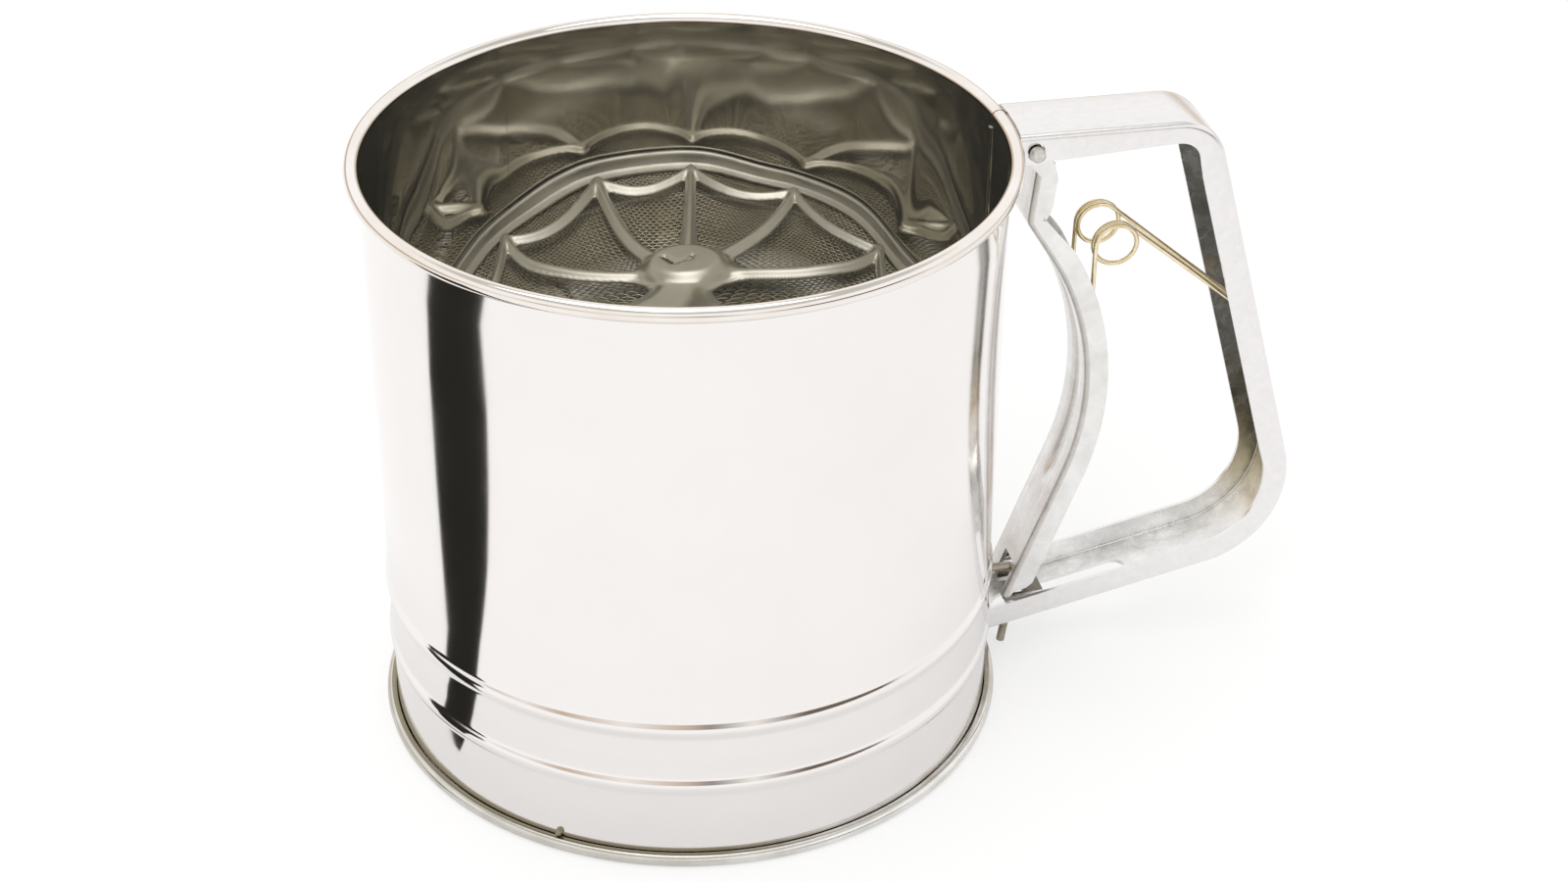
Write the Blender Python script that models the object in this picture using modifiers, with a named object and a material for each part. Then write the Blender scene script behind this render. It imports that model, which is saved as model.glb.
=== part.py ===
"""Squeeze-handle flour sifter: a polished steel cup with a woven wire screen near its foot.

Squeezing the trigger towards the channel handle swings the trigger's foot outwards. The foot pulls
a bent wire link through the cup wall, the link swings a lever under the screen, and the lever turns
the stamped agitator wheel above the screen. A double torsion spring pushes the trigger back.

Sizes are in metres. The cup's axis is upright, and +X runs from the cup towards the handle.
"""
from math import atan2, ceil, cos, hypot, pi, radians, sin, tan

import bmesh
import bpy
from mathutils import Vector

MM = 0.001

# Cup: one deep sheet cylinder, rolled outwards at both ends, with two stiffening beads.
CUP_HEIGHT = 124.7 * MM
WALL_DIAMETER = 125.0 * MM
CUP_SHEET = 0.5 * MM
RIM_ROLL = 3.0 * MM
FOOT_ROLL = 2.7 * MM
ROLL_TURN = radians(105)
BEAD_HEIGHT = 4.2 * MM
BEAD_PROUD = 0.6 * MM
UPPER_BEAD_Z = 32.2 * MM
LOWER_BEAD_Z = 18.6 * MM
TURNED_STEPS = 48

# Clearances between neighbouring pieces.
SEAT_GAP = 0.35 * MM
RUNNING_GAP = 0.35 * MM
LINK_PLAY = 0.5 * MM

# Screen, the folded hoop that binds its edge, and the eyelet in its middle.
SCREEN_Z = 28.6 * MM
SCREEN_THICKNESS = 0.8 * MM
SCREEN_PITCH = 8.6 * MM
SCREEN_WIRE = 1.6 * MM
HOOP_SHEET = 0.5 * MM
HOOP_LIP = 3.6 * MM
HOOP_HEIGHT = 5.4 * MM
HOOP_BEAD = 0.75 * MM
EYELET_WALL = 0.8 * MM
EYELET_FLANGE = 2.0 * MM
EYELET_FLANGE_THICKNESS = 0.4 * MM

# Agitator: stamped wheel, its shaft, the lever under the screen and the bridge that carries them.
SHAFT_RADIUS = 2.0 * MM
SHAFT_COLLAR_RADIUS = 3.4 * MM
SHAFT_TAIL = 1.6 * MM
WASHER_RADIUS = 5.6 * MM
WASHER_THICKNESS = 0.5 * MM
WHEEL_TIP_RADIUS = 53.5 * MM
WHEEL_THICKNESS = 1.4 * MM
WHEEL_EDGE_ROUND = 0.45 * MM
WHEEL_ARM_WIDTH = 5.0 * MM
WHEEL_WIDE_ARM_WIDTH = 7.4 * MM
WHEEL_RIM_WIDTH = 4.6 * MM
WHEEL_HUB_RADIUS = 10.5 * MM
WHEEL_DOME_RADIUS = 7.6 * MM
WHEEL_DOME_HEIGHT = 3.2 * MM
WHEEL_WINDOW_FILLET = 3.0 * MM
WHEEL_TIP_FILLET = 5.0 * MM
WHEEL_ARMS = 6
WHEEL_FIRST_ARM = radians(15)
WIDE_ARM = 1
LEVER_RADIUS = 30.0 * MM
LEVER_SWING = radians(45.9)
LEVER_THICKNESS = 1.2 * MM
LEVER_HUB_RADIUS = 6.0 * MM
LEVER_EYE_RADIUS = 3.6 * MM
BRIDGE_Z = 11.6 * MM
BRIDGE_THICKNESS = 1.0 * MM
BRIDGE_WIDTH = 12.0 * MM
BRIDGE_TAB = 7.0 * MM
BRIDGE_BEND = 2.0 * MM
SPACER_RADIUS = 3.4 * MM
NUT_RADIUS = 4.6 * MM
NUT_THICKNESS = 0.8 * MM

# Link: one wire with both ends bent down.
LINK_WIRE = 1.8 * MM
LINK_Z = 20.3 * MM
LINK_SIDE = -3.0 * MM
LINK_STRAIGHT = 34.0 * MM
LINK_BEND = 2.2 * MM
LINK_JOG_BEND = 6.0 * MM
LINK_INNER_TAIL = 2.0 * MM
LINK_FOOT_Z = 1.0 * MM
LINK_FOOT_DRIFT = 2.8 * MM

# Handle: a U channel bent round a hand hole, with its ends cut to the cup.
HANDLE_WIDTH = 16.4 * MM
HANDLE_SHEET = 0.8 * MM
HANDLE_EDGE = 1.2 * MM
HANDLE_TOP_DROP = 0.2 * MM
TOP_LEG_REACH = 42.15 * MM
TOP_CORNER_RADIUS = 10.5 * MM
GRIP_REACH = 70.7 * MM
LOW_CORNER_Z = 23.8 * MM
LOW_CORNER_RADIUS = 21.0 * MM
LOWER_LEG_Z = 7.3 * MM
EAR_DEPTH = 6.7 * MM
EAR_LENGTH = 7.0 * MM
TOP_LEG_DEPTH = 5.7 * MM
CORNER_DEPTH = 4.3 * MM
GRIP_DEPTH = 5.5 * MM
LEG_SLOT_FAR = 33.1 * MM
LEG_SLOT_WIDTH = 6.3 * MM
LEG_SLOT_SIDE = -1.15 * MM

# Trigger: a lighter channel that bows outwards, hung on a pin under the top leg.
PIN_REACH = 5.1 * MM
PIN_DROP = 3.6 * MM
PIN_RADIUS = 1.5 * MM
PIN_LENGTH = 20.4 * MM
TRIGGER_WIDTH = 13.4 * MM
TRIGGER_SHEET = 0.9 * MM
TRIGGER_EDGE = 1.0 * MM
TRIGGER_EAR = 2.55 * MM
WEB_TOP_DROP = 3.1 * MM
WEB_TOP_REACH = 1.1 * MM
KINK_DROP = 16.5 * MM
KINK_REACH = -0.3 * MM
KINK_RADIUS = 3.0 * MM
BOW_DROP = 49.3 * MM
BOW_REACH = 20.3 * MM
BOW_RADIUS = 58.0 * MM
FOOT_LIFT = 3.9 * MM
FOOT_REACH = -1.5 * MM
FOOT_LENGTH = 10.0 * MM
FOOT_RISE = 0.9 * MM
FOOT_BEND = 1.4 * MM
TRIGGER_EAR_DEPTH = 4.5 * MM
TRIGGER_KINK_DEPTH = 3.4 * MM
TRIGGER_DEPTH = 4.9 * MM
TRIGGER_LIP = 1.3 * MM
FLANGE_RUNOUT = 5.0 * MM
GROOVE_DEPTH = 0.5 * MM
GROOVE_FLOOR = 2.4 * MM
GROOVE_MOUTH = 4.8 * MM
GROOVE_START = 8.0 * MM
GROOVE_END = 26.0 * MM
GROOVE_FADE = 3.0 * MM
WEB_SLOT_TOP = 1.4 * MM
WEB_SLOT_WIDTH = 6.2 * MM
WEB_SLOT_SIDE = -1.4 * MM

# Return spring: two coils of one wire, joined by a bridge that bears on the grip.
SPRING_WIRE = 1.1 * MM
SPRING_COIL_RADIUS = 4.4 * MM
SPRING_PITCH = 1.54 * MM
SPRING_FULL_TURNS = 1
SPRING_POINTS_PER_TURN = 9
SPRING_REACH = 18.4 * MM
SPRING_DROP = 23.5 * MM
SPRING_LEG_SIDE = 4.9 * MM
SPRING_LEG_LENGTH = 15.0 * MM
SPRING_GRIP_DROP = 46.6 * MM
SPRING_GRIP_SIDE = 1.9 * MM

ARC_STEP = radians(24)
WIRE_ARC_STEP = radians(30)

# Places that follow from the sizes above.
wall_radius = WALL_DIAMETER / 2
wall_inside = wall_radius - CUP_SHEET
sheet_radius = wall_radius - CUP_SHEET / 2
rim_radius = wall_inside + RIM_ROLL
handle_top = CUP_HEIGHT - HANDLE_TOP_DROP
pin = Vector((wall_radius + PIN_REACH, handle_top - PIN_DROP))
top_corner = Vector((wall_radius + TOP_LEG_REACH, handle_top))
low_corner = Vector((wall_radius + GRIP_REACH, LOW_CORNER_Z))
leg_end = Vector((wall_radius, LOWER_LEG_Z))
leg_rise = (low_corner.y - leg_end.y) / (low_corner.x - leg_end.x)
lever_rest = pi / 2 + LEVER_SWING / 2
lever_eye = Vector((cos(lever_rest), sin(lever_rest))) * LEVER_RADIUS
link_end = Vector((pin.x + 3.0 * MM, LINK_SIDE))

for old in list(bpy.data.objects):
    bpy.data.objects.remove(old, do_unlink=True)
parts = bpy.data.collections.new("flour_sifter")
cutters = bpy.data.collections.new("cutters")
bpy.context.scene.collection.children.link(parts)
bpy.context.scene.collection.children.link(cutters)


def material(name, color, roughness, metallic=1.0):
    steel = bpy.data.materials.new(name)
    steel.use_nodes = True
    shader = steel.node_tree.nodes["Principled BSDF"]
    shader.inputs["Base Color"].default_value = (*color, 1)
    shader.inputs["Roughness"].default_value = roughness
    shader.inputs["Metallic"].default_value = metallic
    return steel


mirror_steel = material("mirror_steel", (0.80, 0.79, 0.77), 0.08)
satin_steel = material("satin_steel", (0.72, 0.72, 0.71), 0.32)
stamped_steel = material("stamped_steel", (0.66, 0.65, 0.62), 0.22)
screen_steel = material("screen_steel", (0.55, 0.54, 0.51), 0.35)
spring_steel = material("spring_steel", (0.72, 0.60, 0.38), 0.25)


def empty(name, place, parent=None):
    marker = bpy.data.objects.new(name, None)
    marker.location = place
    marker.parent = parent
    parts.objects.link(marker)
    return marker


def corner_arc(before, corner, after, radius, step):
    """Points of the arc that rounds one corner of a path."""
    corner = Vector(corner)
    to_before = (Vector(before) - corner).normalized()
    to_after = (Vector(after) - corner).normalized()
    turn = pi - to_before.angle(to_after)
    reach = radius * tan(turn / 2)
    centre = corner + (to_before + to_after).normalized() * radius / cos(turn / 2)
    start = corner + to_before * reach - centre
    end = corner + to_after * reach - centre
    count = max(2, ceil(turn / step))
    angles = [turn * i / count for i in range(count + 1)]
    return [centre + (start * sin(turn - a) + end * sin(a)) / sin(turn) for a in angles]


def rounded_path(points, radii, step=ARC_STEP):
    """Open path whose inner corners have the given radii."""
    path = [Vector(points[0])]
    for before, corner, after, radius in zip(points, points[1:], points[2:], radii):
        path += corner_arc(before, corner, after, radius, step)
    return path + [Vector(points[-1])]


def rounded_outline(points, radius, step=ARC_STEP):
    """Closed outline whose corners all have one radius."""
    outline = []
    for i, corner in enumerate(points):
        after = points[(i + 1) % len(points)]
        outline += corner_arc(points[i - 1], corner, after, radius, step)
    return outline


def arc(centre, radius, start, end, count):
    angles = [start + (end - start) * i / count for i in range(count + 1)]
    return [Vector((centre[0] + radius * cos(a), centre[1] + radius * sin(a))) for a in angles]


def circle(centre, radius, count=24):
    return arc(centre, radius, 0, 2 * pi, count)[:-1]


def side_normals(path):
    """Left-hand normal at each point of a path, long enough to keep an even offset."""
    normals = []
    for i, point in enumerate(path):
        after = path[min(i + 1, len(path) - 1)] - path[min(i, len(path) - 2)]
        before = path[max(i, 1)] - path[max(i - 1, 0)]
        first = Vector((-before.y, before.x)).normalized()
        second = Vector((-after.y, after.x)).normalized()
        normal = (first + second).normalized()
        normals.append(normal / normal.dot(first))
    return normals


def thicken(path, thickness):
    """Closed outline of a sheet whose middle line is the path."""
    half = [normal * thickness / 2 for normal in side_normals(path)]
    left = [point + offset for point, offset in zip(path, half)]
    right = [point - offset for point, offset in zip(path, half)]
    return left + right[::-1]


def place(node, mesh, finish, parent):
    """Make a mesh a named piece; its points are given from the cup's axis."""
    piece = bpy.data.objects.new(node, mesh)
    piece.parent = parent
    if parent != sifter:
        piece.location = -parent.location
    mesh.materials.clear()
    mesh.materials.append(finish)
    mesh.shade_smooth()
    mesh.set_sharp_from_angle(angle=radians(38))
    parts.objects.link(piece)
    return piece


def turned_mesh(node, outline, closed=True):
    """Outline of radius and height, to be turned about the cup's axis by a Screw modifier."""
    mesh = bpy.data.meshes.new(node)
    last = len(outline) - 1
    edges = [(i, i + 1) for i in range(last)]
    if closed:
        edges.append((last, 0))
    mesh.from_pydata([(p[0], 0, p[1]) for p in outline], edges, [])
    return mesh


def turn(piece, steps=TURNED_STEPS):
    screw = piece.modifiers.new("turn", "SCREW")
    screw.axis = "Z"
    screw.steps = steps
    screw.render_steps = steps
    screw.use_merge_vertices = True
    screw.merge_threshold = 0.00001
    screw.use_smooth_shade = True
    return piece


def baked_curve(node, curve):
    """Closed mesh of a curve, with its caps welded on."""
    temporary = bpy.data.objects.new(node + "_curve", curve)
    parts.objects.link(temporary)
    bpy.context.view_layer.update()
    evaluated = temporary.evaluated_get(bpy.context.evaluated_depsgraph_get())
    mesh = bpy.data.meshes.new_from_object(evaluated)
    bpy.data.objects.remove(temporary, do_unlink=True)
    body = bmesh.new()
    body.from_mesh(mesh)
    bmesh.ops.remove_doubles(body, verts=body.verts, dist=0.000002)
    bmesh.ops.recalc_face_normals(body, faces=body.faces)
    body.to_mesh(mesh)
    body.free()
    mesh.name = node
    return mesh


def plate_mesh(node, outlines, low, high, edge_round=0.0):
    """Flat plate from closed outlines; an outline inside another is a hole."""
    curve = bpy.data.curves.new(node, "CURVE")
    curve.dimensions = "2D"
    curve.fill_mode = "BOTH"
    curve.extrude = (high - low) / 2 - edge_round
    curve.bevel_depth = edge_round
    curve.bevel_resolution = 0
    curve.offset = -edge_round
    for outline in outlines:
        spline = curve.splines.new("POLY")
        spline.points.add(len(outline) - 1)
        for point, target in zip(outline, spline.points):
            target.co = (point[0], point[1], 0, 1)
        spline.use_cyclic_u = True
    mesh = baked_curve(node, curve)
    for vertex in mesh.vertices:
        vertex.co.z += (low + high) / 2
    return mesh


def wire_mesh(node, path, diameter):
    """Round wire along a path, closed at both ends."""
    curve = bpy.data.curves.new(node, "CURVE")
    curve.dimensions = "3D"
    curve.bevel_depth = diameter / 2
    curve.bevel_resolution = 1
    curve.use_fill_caps = True
    spline = curve.splines.new("POLY")
    spline.points.add(len(path) - 1)
    for point, target in zip(path, spline.points):
        target.co = (*point, 1)
    return baked_curve(node, curve)


def channel_mesh(node, path, section, inside_left):
    """Open sheet swept along an upright path; section(distance) lists (side, depth) points."""
    mesh = bpy.data.meshes.new(node)
    body = bmesh.new()
    rows = []
    distance = 0.0
    for i, (point, normal) in enumerate(zip(path, side_normals(path))):
        if i:
            distance += (point - path[i - 1]).length
        inward = normal if inside_left else -normal
        row = []
        for side, depth in section(distance):
            spot = point + inward * depth
            row.append(body.verts.new((spot.x, side, spot.y)))
        rows.append(row)
    for row, following in zip(rows, rows[1:]):
        for j in range(len(row) - 1):
            corners = [row[j], following[j], following[j + 1], row[j + 1]]
            body.faces.new(corners[::-1] if inside_left else corners)
    body.to_mesh(mesh)
    body.free()
    return mesh


def solidify(piece, thickness):
    wall = piece.modifiers.new("sheet", "SOLIDIFY")
    wall.thickness = thickness
    wall.offset = -1
    wall.use_even_offset = True
    return piece


def cut(piece, mesh, name):
    """Cut a piece with a closed mesh given from the cup's axis."""
    tool = bpy.data.objects.new(name, mesh)
    tool.parent = piece.parent
    tool.location = piece.location
    tool.hide_render = True
    tool.display_type = "WIRE"
    cutters.objects.link(tool)
    boolean = piece.modifiers.new(name, "BOOLEAN")
    boolean.operation = "DIFFERENCE"
    boolean.object = tool
    return tool


def join(piece, mesh, name):
    """Fuse a closed mesh, given from the cup's axis, to a piece."""
    tool = cut(piece, mesh, name)
    piece.modifiers[name].operation = "UNION"
    return tool


def box_mesh(name, low, high):
    mesh = bpy.data.meshes.new(name)
    body = bmesh.new()
    bmesh.ops.create_cube(body, size=1)
    for vertex in body.verts:
        for axis in range(3):
            vertex.co[axis] = low[axis] if vertex.co[axis] < 0 else high[axis]
    body.to_mesh(mesh)
    body.free()
    return mesh


def cross_rod_mesh(name, centre, radius, half_length, bevel=0.0):
    """Round rod across the handle, along Y, at a point of its upright plane."""
    mesh = plate_mesh(name, [circle((0, 0), radius, 20)], -half_length, half_length, bevel)
    for vertex in mesh.vertices:
        x, y, z = vertex.co
        vertex.co = (centre.x + x, -z, centre.y + y)
    return mesh


def eased(distance, stops):
    """Value at a distance along a path, straight between (distance, value) stops."""
    for (start, low), (end, high) in zip(stops, stops[1:]):
        if distance <= end:
            share = max(0.0, (distance - start) / (end - start))
            return low + (high - low) * share
    return stops[-1][1]


def channel_section(width, edge, depth, web=()):
    """Half round corners and flanges of a channel, with extra points across its web."""
    half = width / 2
    corner = [(-half, edge), (-half + edge * 0.3, edge * 0.3), (-half + edge, 0.0)]
    left = [(-half, depth)] + corner
    right = [(-side, deep) for side, deep in left]
    return left + list(web) + right[::-1]


# Handle and trigger paths are drawn in the upright plane through the cup's axis.
handle_path = rounded_path(
    [Vector((wall_inside, handle_top)), top_corner, low_corner, leg_end - Vector((1, leg_rise)) * CUP_SHEET],
    [TOP_CORNER_RADIUS, LOW_CORNER_RADIUS],
    radians(15),
)
handle_reach = max(point.x for point in handle_path)
sifter = empty("sifter_frame", (-(handle_reach - rim_radius) / 2, 0, 0))


def leg_floor(x):
    """Height of the lower leg's floor, inside the channel."""
    return leg_end.y + (x - leg_end.x) * leg_rise + HANDLE_SHEET * hypot(1, leg_rise)


# Cup body
def roll(tube, top):
    """Middle line of a rolled edge, from its free end to the wall, with a flat facet to rest on."""
    radius = tube / 2 - CUP_SHEET / 2
    facet = cos(radians(18)) * radius + CUP_SHEET / 2
    centre = (sheet_radius + radius, CUP_HEIGHT - facet if top else facet)
    up = 1 if top else -1
    tail = arc(centre, radius, -up * ROLL_TURN, 0, 3)[:-1]
    return tail + arc(centre, radius, 0, up * pi, 5)


def bead(middle):
    """Middle line of one outward bead, from its top down."""
    steps = [1, 0.5, 0, -0.5, -1]
    return [Vector((sheet_radius + BEAD_PROUD * (1 + cos(pi * s)) / 2, middle + s * BEAD_HEIGHT / 2)) for s in steps]


cup_line = roll(RIM_ROLL, True) + bead(UPPER_BEAD_Z) + bead(LOWER_BEAD_Z) + roll(FOOT_ROLL, False)[::-1]
cup_body = turn(place("cup_body", turned_mesh("cup_body", thicken(cup_line, CUP_SHEET)), mirror_steel, sifter))
link_rise = LEVER_RADIUS * (1 - cos(LEVER_SWING / 2))
link_half = LINK_WIRE / 2 + LINK_PLAY
wall_slot = box_mesh(
    "wall_slot",
    (wall_inside - 2 * CUP_SHEET - BEAD_PROUD, LINK_SIDE - link_half, LINK_Z - link_half),
    (wall_radius + CUP_SHEET + 2 * BEAD_PROUD, LINK_SIDE + link_rise + link_half, LINK_Z + link_half),
)
cut(cup_body, wall_slot, "wall_slot")

# Screen hoop, folded from one strip so that its two lips pinch the screen's edge
hoop_radius = wall_inside - SEAT_GAP - HOOP_SHEET / 2 - 0.2 * MM
lip_step = SCREEN_THICKNESS / 2 + SEAT_GAP + HOOP_SHEET / 2
fold_step = HOOP_SHEET + SEAT_GAP
hoop_low = SCREEN_Z - lip_step
hoop_line = [
    Vector((hoop_radius - fold_step - HOOP_LIP, hoop_low)),
    Vector((hoop_radius, hoop_low)),
    Vector((hoop_radius, UPPER_BEAD_Z - BEAD_HEIGHT / 3)),
    Vector((hoop_radius + HOOP_BEAD, UPPER_BEAD_Z)),
    Vector((hoop_radius, hoop_low + HOOP_HEIGHT)),
    Vector((hoop_radius - fold_step, hoop_low + HOOP_HEIGHT)),
    Vector((hoop_radius - fold_step, SCREEN_Z + lip_step)),
    Vector((hoop_radius - fold_step - HOOP_LIP, SCREEN_Z + lip_step)),
]
hoop_outline = thicken(hoop_line, HOOP_SHEET)
turn(place("screen_hoop", turned_mesh("screen_hoop", hoop_outline), stamped_steel, sifter))

# Screen, a flat net; its real weave is much finer
screen_radius = hoop_radius - fold_step - HOOP_SHEET / 2 - SEAT_GAP
eyelet_bore = SHAFT_RADIUS + RUNNING_GAP
eyelet_radius = eyelet_bore + EYELET_WALL
net_hole = (SCREEN_PITCH - SCREEN_WIRE) / 2
net_edge = screen_radius - HOOP_LIP
cells = int(screen_radius // SCREEN_PITCH) + 1
net = [circle((0, 0), screen_radius, TURNED_STEPS), circle((0, 0), eyelet_radius + SEAT_GAP)]
for row in range(-cells, cells):
    for column in range(-cells, cells):
        x = (column + 0.5) * SCREEN_PITCH
        y = (row + 0.5) * SCREEN_PITCH
        corner = hypot(abs(x) + net_hole, abs(y) + net_hole)
        if corner < net_edge and hypot(x, y) > eyelet_radius + SCREEN_PITCH / 2:
            net.append([(x + a * net_hole, y + b * net_hole) for a, b in ((1, 1), (-1, 1), (-1, -1), (1, -1))])
screen_low = SCREEN_Z - SCREEN_THICKNESS / 2
screen_high = SCREEN_Z + SCREEN_THICKNESS / 2
place("screen_mesh", plate_mesh("screen_mesh", net, screen_low, screen_high), screen_steel, sifter)

# Screen eyelet, the bearing for the shaft in the middle of the net
eyelet_top = screen_high + SEAT_GAP + EYELET_FLANGE_THICKNESS
eyelet_low = screen_low - SEAT_GAP - EYELET_FLANGE_THICKNESS
eyelet_edge = eyelet_radius + EYELET_FLANGE
eyelet_outline = [
    (eyelet_bore, eyelet_top),
    (eyelet_edge, eyelet_top),
    (eyelet_edge, screen_high + SEAT_GAP),
    (eyelet_radius, screen_high + SEAT_GAP),
    (eyelet_radius, screen_low - SEAT_GAP),
    (eyelet_edge, screen_low - SEAT_GAP),
    (eyelet_edge, eyelet_low),
    (eyelet_bore, eyelet_low),
]
turn(place("screen_eyelet", turned_mesh("screen_eyelet", eyelet_outline), stamped_steel, sifter), 24)

# Bridge bar across the skirt, with its ends bent down along the wall
bridge_end = hypot(wall_inside - SEAT_GAP, 0) - BRIDGE_WIDTH ** 2 / (8 * wall_inside) - BRIDGE_THICKNESS
bridge_line = rounded_path(
    [
        Vector((-bridge_end, BRIDGE_Z - BRIDGE_TAB)),
        Vector((-bridge_end, BRIDGE_Z)),
        Vector((bridge_end, BRIDGE_Z)),
        Vector((bridge_end, BRIDGE_Z - BRIDGE_TAB)),
    ],
    [BRIDGE_BEND, BRIDGE_BEND],
)
bridge_mesh = plate_mesh("bridge_bar", [thicken(bridge_line, BRIDGE_THICKNESS)], -BRIDGE_WIDTH / 2, BRIDGE_WIDTH / 2)
for vertex in bridge_mesh.vertices:
    y, z, x = vertex.co
    vertex.co = (x, y, z)
bridge_bar = place("bridge_bar", bridge_mesh, stamped_steel, sifter)
bridge_bore = circle((0, 0), SHAFT_RADIUS + RUNNING_GAP)
bore_mesh = plate_mesh("bridge_bore", [bridge_bore], BRIDGE_Z - BRIDGE_THICKNESS, BRIDGE_Z + BRIDGE_THICKNESS)
cut(bridge_bar, bore_mesh, "bridge_bore")

# Agitator: everything here turns about the cup's axis
agitator = empty("agitator_axis", (0, 0, 0), sifter)
lever_top = LINK_Z - LINK_WIRE / 2 - SEAT_GAP
lever_low = lever_top - LEVER_THICKNESS
wheel_low = eyelet_top + WASHER_THICKNESS + 2 * SEAT_GAP
wheel_high = wheel_low + WHEEL_THICKNESS
dome_top = wheel_low + WHEEL_DOME_HEIGHT
bridge_top = BRIDGE_Z + BRIDGE_THICKNESS / 2
bridge_low = BRIDGE_Z - BRIDGE_THICKNESS / 2
nut_low = bridge_low - SEAT_GAP - NUT_THICKNESS


def ring(node, inner, outer, low, high, finish, parent):
    outline = [(inner, high), (outer, high), (outer, low), (inner, low)]
    return turn(place(node, turned_mesh(node, outline), finish, parent), 24)


shaft_chamfer = 0.4 * MM
shaft_outline = [
    (0, dome_top + SEAT_GAP),
    (SHAFT_RADIUS - shaft_chamfer, dome_top + SEAT_GAP),
    (SHAFT_RADIUS, dome_top + SEAT_GAP - shaft_chamfer),
    (SHAFT_RADIUS, eyelet_low - SEAT_GAP),
    (SHAFT_COLLAR_RADIUS, eyelet_low - SEAT_GAP),
    (SHAFT_COLLAR_RADIUS, lever_top + SEAT_GAP),
    (SHAFT_RADIUS, lever_top + SEAT_GAP),
    (SHAFT_RADIUS, nut_low - SHAFT_TAIL + shaft_chamfer),
    (SHAFT_RADIUS - shaft_chamfer, nut_low - SHAFT_TAIL),
    (0, nut_low - SHAFT_TAIL),
]
shaft_mesh = turned_mesh("agitator_shaft", shaft_outline, closed=False)
turn(place("agitator_shaft", shaft_mesh, stamped_steel, agitator), 20)
shaft_fit = SHAFT_RADIUS + SEAT_GAP
washer_low = eyelet_top + SEAT_GAP
ring("wheel_washer", shaft_fit, WASHER_RADIUS, washer_low, washer_low + WASHER_THICKNESS, satin_steel, agitator)
ring("lever_spacer", shaft_fit, SPACER_RADIUS, bridge_top + SEAT_GAP, lever_low - SEAT_GAP, stamped_steel, agitator)
ring("shaft_push_nut", shaft_fit, NUT_RADIUS, nut_low, nut_low + NUT_THICKNESS, satin_steel, agitator)


def polar(radius, angle):
    return Vector((cos(angle), sin(angle))) * radius


def wheel_window(first, first_width, second_width):
    """Open window of the wheel between two arms, the first at the given angle."""
    step = 2 * pi / WHEEL_ARMS
    reach = WHEEL_TIP_RADIUS * cos(step / 2) - WHEEL_RIM_WIDTH / 2
    points = []
    for angle, half, side in ((first, first_width / 2, 1), (first + step, second_width / 2, -1)):
        along = Vector((cos(angle), sin(angle)))
        across = Vector((-along.y, along.x)) * side
        near = (WHEEL_HUB_RADIUS ** 2 - half ** 2) ** 0.5
        far = (reach - half * sin(step / 2)) / cos(step / 2)
        points += [along * near + across * half, along * far + across * half][::side]
    return rounded_outline(points, WHEEL_WINDOW_FILLET, radians(35))


arm_step = 2 * pi / WHEEL_ARMS
arm_widths = [WHEEL_WIDE_ARM_WIDTH if k == WIDE_ARM else WHEEL_ARM_WIDTH for k in range(WHEEL_ARMS)]
rim_outside = WHEEL_TIP_RADIUS + WHEEL_RIM_WIDTH / 2 / cos(arm_step / 2)
tips = [polar(rim_outside, WHEEL_FIRST_ARM + k * arm_step) for k in range(WHEEL_ARMS)]
wheel_outlines = [rounded_outline(tips, WHEEL_TIP_FILLET)]
for k in range(WHEEL_ARMS):
    angle = WHEEL_FIRST_ARM + k * arm_step
    wheel_outlines.append(wheel_window(angle, arm_widths[k], arm_widths[(k + 1) % WHEEL_ARMS]))
wheel_mesh = plate_mesh("agitator_wheel", wheel_outlines, wheel_low, wheel_high, WHEEL_EDGE_ROUND)
wheel = place("agitator_wheel", wheel_mesh, stamped_steel, agitator)
dome_crown = [Vector((WHEEL_DOME_RADIUS * sin(a), wheel_low + WHEEL_DOME_HEIGHT * cos(a))) for a in
              [pi / 2 * i / 5 for i in range(6)]]
dome_mesh = turned_mesh("hub_dome", [tuple(p) for p in dome_crown] + [(0, wheel_low)], closed=False)
turn(join(wheel, dome_mesh, "hub_dome"), 24)
cut(wheel, plate_mesh("hub_bore", [circle((0, 0), shaft_fit)], wheel_low - MM, dome_top + MM), "hub_bore")

# Drive lever under the screen, riveted to the shaft's collar
eye_turn = pi / 2 - (LEVER_HUB_RADIUS - LEVER_EYE_RADIUS) / LEVER_RADIUS
lever_outline = arc((0, 0), LEVER_HUB_RADIUS, lever_rest + eye_turn, lever_rest + 2 * pi - eye_turn, 10)
lever_outline += arc(lever_eye, LEVER_EYE_RADIUS, lever_rest - eye_turn, lever_rest + eye_turn, 8)
lever_holes = [circle((0, 0), shaft_fit), circle(lever_eye, LINK_WIRE / 2 + RUNNING_GAP, 16)]
lever_mesh = plate_mesh("drive_lever", [lever_outline] + lever_holes, lever_low, lever_top)
place("drive_lever", lever_mesh, stamped_steel, agitator)

# Link wire, hooked into the lever's eye and into the trigger's foot
link_pivot = empty("link_pivot", (lever_eye.x, lever_eye.y, LINK_Z), sifter)
link_path = rounded_path(
    [
        Vector((lever_eye.x, lever_eye.y, lever_low - LINK_INNER_TAIL)),
        Vector((lever_eye.x, lever_eye.y, LINK_Z)),
        Vector((LINK_STRAIGHT, LINK_SIDE, LINK_Z)),
        Vector((link_end.x, LINK_SIDE, LINK_Z)),
        Vector((link_end.x - LINK_FOOT_DRIFT, LINK_SIDE, LINK_FOOT_Z)),
    ],
    [LINK_BEND, LINK_JOG_BEND, LINK_BEND],
    WIRE_ARC_STEP,
)
place("link_rod", wire_mesh("link_rod", link_path, LINK_WIRE), satin_steel, link_pivot)

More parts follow.
